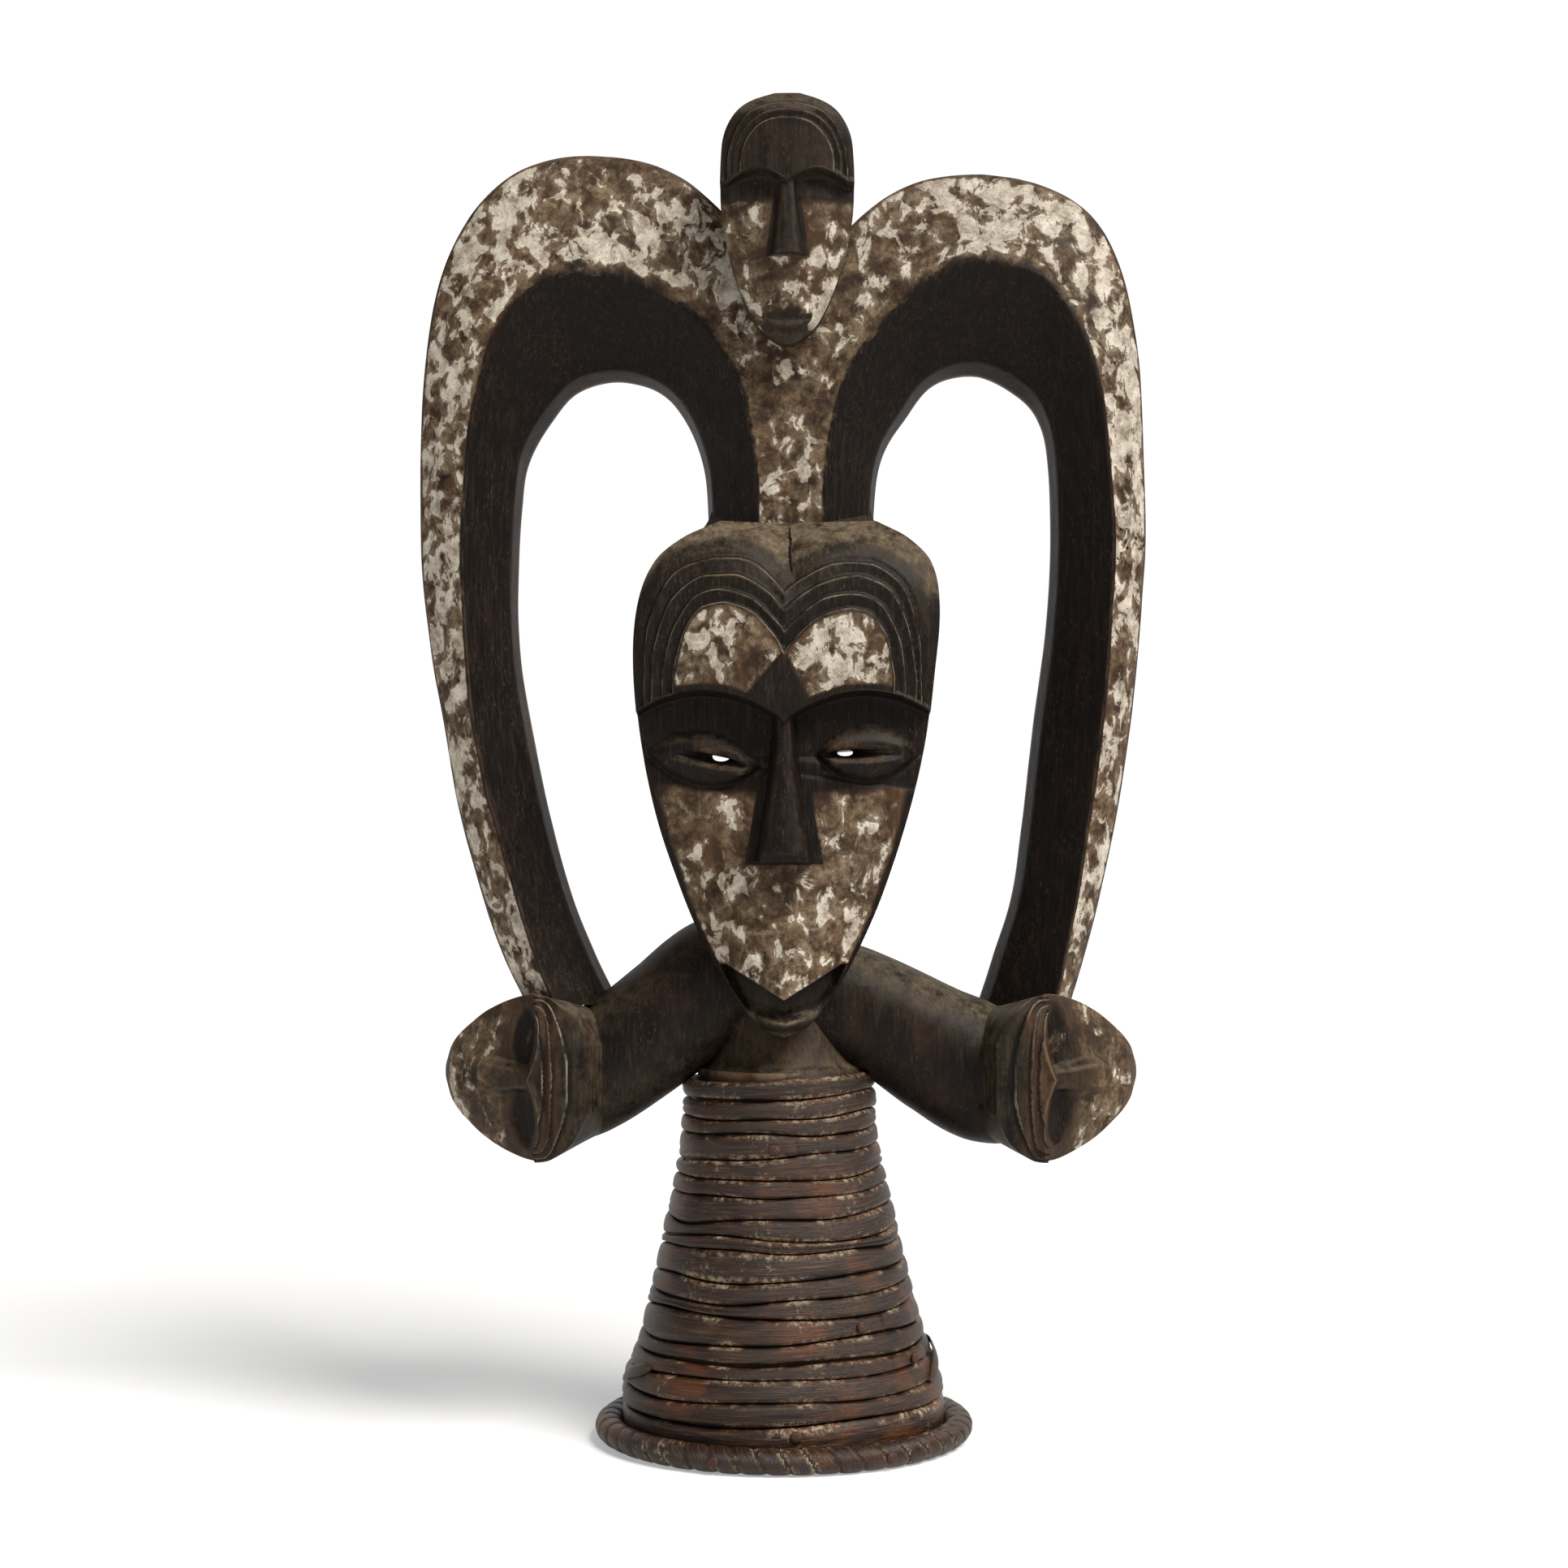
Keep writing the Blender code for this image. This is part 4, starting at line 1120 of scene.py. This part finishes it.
def add_nail(shell, node):
    """A small forged head, a little out of round, on the place of its solid."""
    low, high = (Vector(corner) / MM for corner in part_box(node))
    middle = (low + high) / 2
    outward = Vector((middle.x, middle.y, 0)).normalized()
    side = outward.cross(Vector((0, 0, 1)))
    up = side.cross(outward)
    seat = middle - outward * NAIL_SEAT
    rings = []
    for radius, rise in NAIL_PROFILE:
        ring = []
        for turn in turns_round(NAIL_SIDES):
            size = radius * (1 + 0.07 * wander(math.cos(turn) * 1.3, math.sin(turn) * 1.3, middle.z))
            ring.append((seat + (side * math.cos(turn) + up * math.sin(turn)) * size + outward * rise)[:])
        rings.append(ring)
    shell.add_rings(rings, [[(0.0, 0.0, 0.0, 0.0, NO_LINE)] * NAIL_SIDES] * len(rings))


# Materials

CRACK_LOW = (0.0037, (FOOT_HEIGHT + MASK_BROW_HEIGHT + 77.7) * MM)
CRACK_HIGH = (0.0025, (FOOT_HEIGHT + MASK_BROW_HEIGHT + 100.9) * MM)
CRACK_WAVER = 0.006
WORM_PLACE = (0.180, -0.020, 0.478)
WORM_REACH = 0.020
BUMP_DISTANCE = 0.0006


class Value:
    """What a shader node gives out. It can be added, subtracted and multiplied."""

    def __init__(self, shader, socket):
        self.shader = shader
        self.socket = socket

    def __add__(self, other):
        return self.shader.math("ADD", self, other)

    def __sub__(self, other):
        return self.shader.math("SUBTRACT", self, other)

    def __rsub__(self, other):
        return self.shader.math("SUBTRACT", other, self)

    def __mul__(self, other):
        return self.shader.math("MULTIPLY", self, other)

    def clamped(self):
        """The same sum or product, held between 0 and 1."""
        self.socket.node.use_clamp = True
        return self


class Shader:
    """A short way to write a node material."""

    def __init__(self, name, specular=0.5):
        self.material = bpy.data.materials.new(name)
        self.material.use_nodes = True
        self.tree = self.material.node_tree
        self.principled = self.tree.nodes["Principled BSDF"]
        self.principled.inputs["Specular IOR Level"].default_value = specular
        self.plain = self.stretch((1.0, 1.0, 1.0))

    def link(self, value, socket):
        if isinstance(value, Value):
            self.tree.links.new(value.socket, socket)
        else:
            socket.default_value = paint(value) if isinstance(value, str) else value

    def node(self, kind, output=0, inputs=None, **settings):
        node = self.tree.nodes.new(kind)
        for key, value in settings.items():
            setattr(node, key, value)
        for key, value in (inputs or {}).items():
            self.link(value, node.inputs[key])
        return Value(self, node.outputs[output])

    def mark(self, name):
        return self.node("ShaderNodeAttribute", 2, attribute_name=name)

    def math(self, operation, a, b=0.0):
        return self.node("ShaderNodeMath", 0, {0: a, 1: b}, operation=operation)

    def stretch(self, scale):
        place = self.node("ShaderNodeTexCoord", "Object")
        return self.node("ShaderNodeMapping", 0, {"Vector": place, "Scale": scale})

    def noise(self, vector, *settings):
        """Noise with its scale, and its detail, roughness and distortion where they are given."""
        names = ("Scale", "Detail", "Roughness", "Distortion")
        return self.node("ShaderNodeTexNoise", "Fac", {"Vector": vector, **dict(zip(names, settings))})

    def step(self, value, low, high):
        """Value as 0 below low, 1 above high, smooth between."""
        inputs = {"Value": value, "From Min": low, "From Max": high}
        return self.node("ShaderNodeMapRange", 0, inputs, interpolation_type="SMOOTHSTEP")

    def ramp(self, value, *stops):
        result = self.node("ShaderNodeValToRGB", 0, {0: value})
        elements = result.socket.node.color_ramp.elements
        while len(elements) < len(stops):
            elements.new(0.5)
        for element, (place, colour) in zip(elements, stops):
            element.position = place
            element.color = paint(colour)
        return result

    def mix(self, share, a, b):
        return self.node("ShaderNodeMix", 2, {"Factor": share, 6: a, 7: b}, data_type="RGBA")

    def place(self, axis):
        """One of the object's own coordinates, in metres."""
        corner = self.node("ShaderNodeTexCoord", "Object")
        return self.node("ShaderNodeSeparateXYZ", axis, {0: corner})

    def crack(self, low, high, waver):
        """A hairline that runs up the front from one point to another."""
        x, y, z = (self.place(axis) for axis in (0, 1, 2))
        share = self.node("ShaderNodeMapRange", 0, {"Value": z, "From Min": low[1], "From Max": high[1]})
        middle = share * (high[0] - low[0]) + low[0] + (waver - 0.5) * CRACK_WAVER
        width = 1.0 - self.step(self.math("ABSOLUTE", x - middle), 0.0002, 0.0008)
        ends = self.step(z, low[1] - 0.002, low[1]) * self.step(z, high[1] + 0.002, high[1])
        return width * ends * self.step(y, 0.0, -0.004)

    def worm_holes(self, middle, reach):
        """Small round holes that stand close together round one place."""
        corner = self.node("ShaderNodeTexCoord", "Object")
        away = self.node("ShaderNodeVectorMath", "Value", {0: corner, 1: middle}, operation="DISTANCE")
        spots = self.node("ShaderNodeTexVoronoi", "Distance", {"Vector": corner, "Scale": 260.0})
        return (1.0 - self.step(spots, 0.16, 0.28)) * (1.0 - self.step(away, reach * 0.4, reach))

    def finish(self, colour, roughness, height, distance, strength=1.0):
        self.link(colour, self.principled.inputs["Base Color"])
        self.link(roughness, self.principled.inputs["Roughness"])
        inputs = {"Height": height, "Distance": distance, "Strength": strength}
        self.link(self.node("ShaderNodeBump", 0, inputs), self.principled.inputs["Normal"])
        return self.material


def paint(code):
    """A colour written as six hex digits, as the shader wants it."""
    parts = [int(code[i : i + 2], 16) / 255 for i in (0, 2, 4)]
    return (*[part / 12.92 if part <= 0.04045 else ((part + 0.055) / 1.055) ** 2.4 for part in parts], 1.0)


class WoodShader(Shader):
    """Sooted carved wood with worn kaolin, a tan wash, dusty patches and rubbed edges; with painted shade in
    its creases and cut grooves, and painted highlights on the cut lines' raised edges and on the mask's
    mouth.
    """

    def __init__(self):
        super().__init__("carved wood", 0.14)
        along_grain = self.stretch((1.0, 1.0, 0.09))
        self.grain = self.noise(along_grain, 520.0, 5.0, 0.65)
        self.streaks = self.noise(along_grain, 90.0, 4.0, 0.65, 0.4)
        self.patches = self.noise(self.plain, 20.0, 4.0, 0.62)
        self.mottle = self.noise(self.plain, 120.0, 8.0, 0.72, 0.3)
        self.blotch = self.noise(self.plain, 52.0, 6.0, 0.68, 0.6)
        self.height = self.grain * 0.45 + self.mottle * 0.9
        self.rough = self.grain * 0.34 + 0.30
        self.dull = 0.0

    def bare_wood(self):
        """The wood, the soot on it, and short pale pores along the grain."""
        wood = self.ramp(self.streaks, (0.34, "150d08"), (0.5, "2b1d14"), (0.64, "4a3322"))
        wood = self.mix(self.step(self.patches, 0.44, 0.64), wood, "422d1c")
        soot = self.mark("soot") + (self.patches - 0.5) * 1.5
        soot_colour = self.ramp(self.grain, (0.30, "040302"), (0.52, "120b07"), (0.75, "2e1e13"))
        wood = self.mix(self.step(soot, 0.05, 0.85), wood, soot_colour)
        pores = self.noise(self.stretch((1.0, 1.0, 0.16)), 1700.0, 1.0, 0.5)
        pore_share = self.step(pores, 0.62, 0.70) * self.step(self.blotch, 0.42, 0.62)
        self.height -= pore_share * 0.25
        return self.mix(pore_share * 0.4, wood, "5c4d3b")

    def tan_wash(self, colour):
        """The tan wash under the kaolin."""
        share = self.step(self.blotch + self.mark("tan") * 0.40, 0.70, 0.92)
        wash = self.ramp(self.mottle, (0.34, "20170f"), (0.45, "3f3023"), (0.55, "5d4c39"), (0.66, "7e6d57"))
        self.dull = share * 0.25
        return self.mix(share * 0.9, colour, wash)

    def kaolin(self, colour):
        """Kaolin flakes with torn edges, a thinner film round them, and orange rims round some."""
        flakes = self.noise(self.stretch((1.0, 1.0, 0.75)), 112.0, 7.0, 0.60, 0.5)
        clumps = self.noise(self.plain, 24.0, 3.0, 0.55)
        level = flakes + self.mark("kaolin") * 0.388 + (clumps - 0.5) * 0.42
        film = self.step(level, 0.80, 0.90) * self.step(self.mottle, 0.38, 0.56)
        colour = self.mix(film * 0.75, colour, "817360")
        share = self.step(level, 0.885, 0.905)
        pits = self.step(self.noise(self.plain, 800.0, 2.0, 0.5), 0.60, 0.72)
        stops = ((0.34, "6b6051"), (0.44, "94897a"), (0.54, "b2a899"), (0.66, "cac1b4"))
        white = self.mix(pits * 0.5, self.ramp(self.mottle, *stops), "5c4f3e")
        halo = self.step(level, 0.85, 0.89) * self.step(self.patches, 0.50, 0.60)
        colour = self.mix(halo * 0.35, colour, "74482b")
        self.height += share * 0.9 - pits * share * 0.35
        self.dull = self.math("MAXIMUM", self.dull, share * 0.4)
        return self.mix(share, colour, white)

    def dust_and_highlight(self, colour):
        """Dust on what looks up, and where the carving is marked as dusty; on the mouth's lower rim and the
        chin's edge that mark is a painted highlight.
        """
        normal = self.node("ShaderNodeNewGeometry", "Normal")
        up = self.node("ShaderNodeSeparateXYZ", 2, {0: normal})
        share = self.step(up, 0.15, 0.9) * 0.40 + self.mark("dust_and_highlight") * 0.6
        share = (share * self.step(self.noise(self.plain, 130.0, 6.0, 0.7), 0.30, 0.62)).clamped()
        self.dull = self.math("MAXIMUM", self.dull, share * 0.4)
        return self.mix(share * 0.85, colour, self.ramp(self.grain, (0.3, "4a4032"), (0.7, "776a55")))

    def wear(self, colour):
        """Worn ridges, and painted shade darkening the creases."""
        edge = self.mark("edge")
        worn = self.step(edge, 0.06, 0.20) * self.step(self.noise(self.plain, 75.0, 4.0, 0.7), 0.36, 0.58)
        worn *= 1.0 - self.mark("soot") * 0.6
        colour = self.mix(worn * 0.7, colour, self.ramp(self.patches, (0.42, "7d6c57"), (0.60, "7b563a")))
        # Painted shade: creases, where edge is below 0, are darkened to near black.
        return self.mix(self.step(edge * -1.0, 0.05, 0.20) * 0.8, colour, "0a0706")

    def cut_lines(self, colour):
        """A painted highlight on the raised edge inside each cut line, and painted shade in the groove
        outside it.
        """
        part = self.math("FRACT", self.mark("line"))
        # Painted highlight along the raised edge just inside each line.
        painted_lip_highlight = self.step(part, 0.88, 0.96) * self.step(self.blotch, 0.38, 0.62)
        colour = self.mix(painted_lip_highlight * 0.85, colour, self.ramp(self.patches, (0.42, "8a7c69"), (0.64, "70573f")))
        self.height += part * (1.0 - self.step(part, 0.93, 1.0)) * 1.5
        # Painted shade: the groove just outside each line is darkened to near black.
        return self.mix((1.0 - self.step(part, 0.02, 0.26)) * 0.9, colour, "060404")

    def damage(self, colour):
        """A crack down the middle of the mask's top, and worm holes in the right horn."""
        holes = self.worm_holes(WORM_PLACE, WORM_REACH)
        broken = self.math("MAXIMUM", self.crack(CRACK_LOW, CRACK_HIGH, self.blotch), holes)
        self.height -= broken * 2.0
        return self.mix(broken, colour, "050303")

    def make(self):
        colour = self.bare_wood()
        for layer in (self.tan_wash, self.kaolin, self.dust_and_highlight, self.wear, self.cut_lines, self.damage):
            colour = layer(colour)
        return self.finish(colour, (self.rough + self.dull).clamped(), self.height, BUMP_DISTANCE, 0.9)


def make_rattan(name, seam_dust):
    """Brown split cane: fibres along the strip, dusty edges, orange where it is rubbed, and painted shade
    darkening its edges beside the gaps between turns.
    """
    s = Shader(name, 0.36)
    across = s.mark("across")
    fibre_inputs = {0: s.mark("along") * 22.0, 1: across * 9.0, 2: s.mark("turns") * 7.0}
    fibres = s.noise(s.node("ShaderNodeCombineXYZ", 0, fibre_inputs), 2.2, 5.0, 0.68)
    tone = s.noise(s.plain, 24.0, 4.0, 0.6)
    flecks = s.noise(s.plain, 330.0, 6.0, 0.75)
    patchy = s.noise(s.plain, 38.0, 4.0, 0.62)
    # Brown fibres, warmer in places
    colour = s.ramp(fibres, (0.34, "070403"), (0.46, "1a0e06"), (0.58, "35200f"), (0.72, "64462a"))
    warm = s.ramp(fibres, (0.3, "1c0d04"), (0.7, "6e3c18"))
    colour = s.mix(s.step(tone, 0.50, 0.68) * 0.7, colour, warm)
    # Painted shade darkening the strip's edges beside the gaps, orange-brown in patches, none where
    # seam_dust is 1; and dust beside them
    rim = s.math("ABSOLUTE", across - 0.5)
    deep = s.step(rim, 0.36, 0.47) * (1.0 - seam_dust)
    colour = s.mix(deep * 0.85, colour, s.ramp(patchy, (0.42, "070403"), (0.62, "5a3013")))
    dusty = s.step(rim, 0.22, 0.42) * s.step(flecks, 0.45, 0.60)
    dusty *= s.step(patchy, 0.44 + 0.02 * seam_dust, 0.60)
    stray = s.step(flecks, 0.54, 0.66) * s.step(patchy, 0.54, 0.66)
    dusty = s.math("MAXIMUM", dusty, stray * 0.7)
    colour = s.mix(dusty * 0.85, colour, "9a8a72")
    rough = (fibres * 0.34 + 0.27 + dusty * 0.3).clamped()
    return s.finish(colour, rough, fibres * 1.1 + dusty * 0.3, BUMP_DISTANCE, 0.8)


def make_iron():
    """Rusted nail heads."""
    s = Shader("rusted iron")
    rust = s.noise(s.plain, 420.0, 5.0, 0.7)
    colour = s.ramp(rust, (0.3, "180f0b"), (0.5, "3a2117"), (0.7, "633722"))
    s.principled.inputs["Metallic"].default_value = 0.25
    return s.finish(colour, rust * 0.3 + 0.5, rust, 0.0004, 0.8)


def make_floor_material():
    s = Shader("pale floor")
    colour = s.ramp(s.noise(s.plain, 3.0, 2.0, 0.5), (0.3, "bcbcbb"), (0.7, "c0c0bf"))
    s.principled.inputs["Emission Color"].default_value = (1.0, 1.0, 1.0, 1.0)
    s.principled.inputs["Emission Strength"].default_value = 0.34
    return s.finish(colour, 0.9, s.noise(s.plain, 300.0, 2.0, 0.5), 0.0001, 0.1)


# The scene


def dress_wood(material):
    """All the carved wood, in three pieces that share one finish."""
    pieces = []
    mask = Shell()
    add_mask(mask)
    pieces.append(make_piece("carved_mask", mask, material, 0.35))
    horns = Shell()
    add_horn(horns, LEFT_HORN, -1, 0.0)
    add_horn(horns, RIGHT_HORN, 1, 0.7)
    add_collar(horns)
    add_crown_head(horns)
    pieces.append(make_piece("carved_horns", horns, material, 0.8))
    base = Shell()
    add_arm(base, LEFT_ARM, -1)
    add_arm(base, RIGHT_ARM, 1)
    add_neck(base)
    add_foot(base)
    add_end_head(base, -1, 125.5)
    add_end_head(base, 1, 133.0)
    pieces.append(make_piece("carved_arms_and_foot", base, material, 0.7))
    for piece in pieces:
        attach(piece, "root")
        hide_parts("carved_wood")


def dress_binding(rattan, hoop_rattan, iron):
    for i, (start, end) in enumerate(zip(STRIP_ENDS, STRIP_ENDS[1:])):
        shell = Shell()
        add_strip(shell, start + 0.004, end - 0.004)
        if i == 0:
            add_loose_strip(shell, -84, -58, 33, 44, 40.0)
            add_loose_strip(shell, 66, 96, 36, 52, 41.0)
        keep_strip(shell, f"wound_strip_{i + 1}", f"rattan_strip_{i + 1}", rattan)
    hoop = Shell()
    add_hoop(hoop)
    keep_strip(hoop, "wrapped_rim_hoop", "rim_hoop", hoop_rattan)
    for kind, count in (("strip_nail", 4), ("hoop_nail", 3)):
        for i in range(1, count + 1):
            shell = Shell()
            add_nail(shell, f"{kind}_{i}")
            piece = make_piece(f"forged_{kind}_{i}", shell, iron)
            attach(piece, "root")
            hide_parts(f"{kind}_{i}")


def keep_strip(shell, name, node, material):
    piece = make_piece(name, shell, material, 0.0, ("along", "across", "turns"))
    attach(piece, "root")
    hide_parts(node)


def make_floor():
    mesh = bpy.data.meshes.new("pale_floor")
    corners = turns_round(FLOOR_SIDES)
    rim = [(FLOOR_RADIUS * math.cos(turn), FLOOR_RADIUS * math.sin(turn), 0.0) for turn in corners]
    mesh.from_pydata(rim, [], [tuple(range(FLOOR_SIDES))])
    mesh.materials.append(make_floor_material())
    floor = link_to_scene(bpy.data.objects.new("pale_floor", mesh))


def add_light(name, kind, place, target, energy, size, colour):
    """A light that points at target. Size is an area light's width or the sun's angle."""
    data = bpy.data.lights.new(name, kind)
    data.energy = energy
    data.color = colour
    if kind == "AREA":
        data.size = size
    else:
        data.angle = size
    light = link_to_scene(bpy.data.objects.new(name, data))
    light.location = place
    direction = Vector(target) - Vector(place)
    light.rotation_euler = direction.to_track_quat("-Z", "Y").to_euler()


def make_world():
    """Light that is strong from behind, and weak from the front, the sides and above."""
    world = bpy.data.worlds.new("studio")
    world.use_nodes = True
    tree = world.node_tree
    background = tree.nodes["Background"]
    background.inputs["Strength"].default_value = 1.0
    place = tree.nodes.new("ShaderNodeTexCoord")
    split = tree.nodes.new("ShaderNodeSeparateXYZ")
    ramp = tree.nodes.new("ShaderNodeMapRange")
    ramp.interpolation_type = "SMOOTHSTEP"
    for name, value in WORLD_RAMP.items():
        ramp.inputs[name].default_value = value
    tree.links.new(place.outputs["Generated"], split.inputs[0])
    tree.links.new(split.outputs[1], ramp.inputs["Value"])
    tree.links.new(ramp.outputs[0], background.inputs["Color"])
    bpy.context.scene.world = world


def make_studio():
    bpy.context.scene.view_settings.view_transform = "Standard"
    make_world()
    add_light("key", "SUN", (1.8, -1.7, 3.1), (0, 0, 0.3), 5.2, math.radians(30), (1.0, 0.98, 0.95))
    add_light("fill", "AREA", (-1.8, -1.2, 1.1), (0, 0, 0.35), 5.0, 1.2, (0.96, 0.98, 1.0))


def make_camera():
    data = bpy.data.cameras.new("photo camera")
    data.sensor_width = SENSOR_MM
    data.lens = SENSOR_MM * FOCAL_PIXELS / PHOTO_SIZE
    data.clip_end = 60.0
    camera = link_to_scene(bpy.data.objects.new("photo camera", data))
    camera.matrix_world = Matrix.Translation(CAMERA_PLACE) @ Matrix.Rotation(math.pi / 2, 4, "X")
    bpy.context.scene.camera = camera


make_camera()
dress_wood(WoodShader().make())
dress_binding(make_rattan("split rattan", 0.0), make_rattan("wrapped cane", 1.0), make_iron())
make_floor()
make_studio()
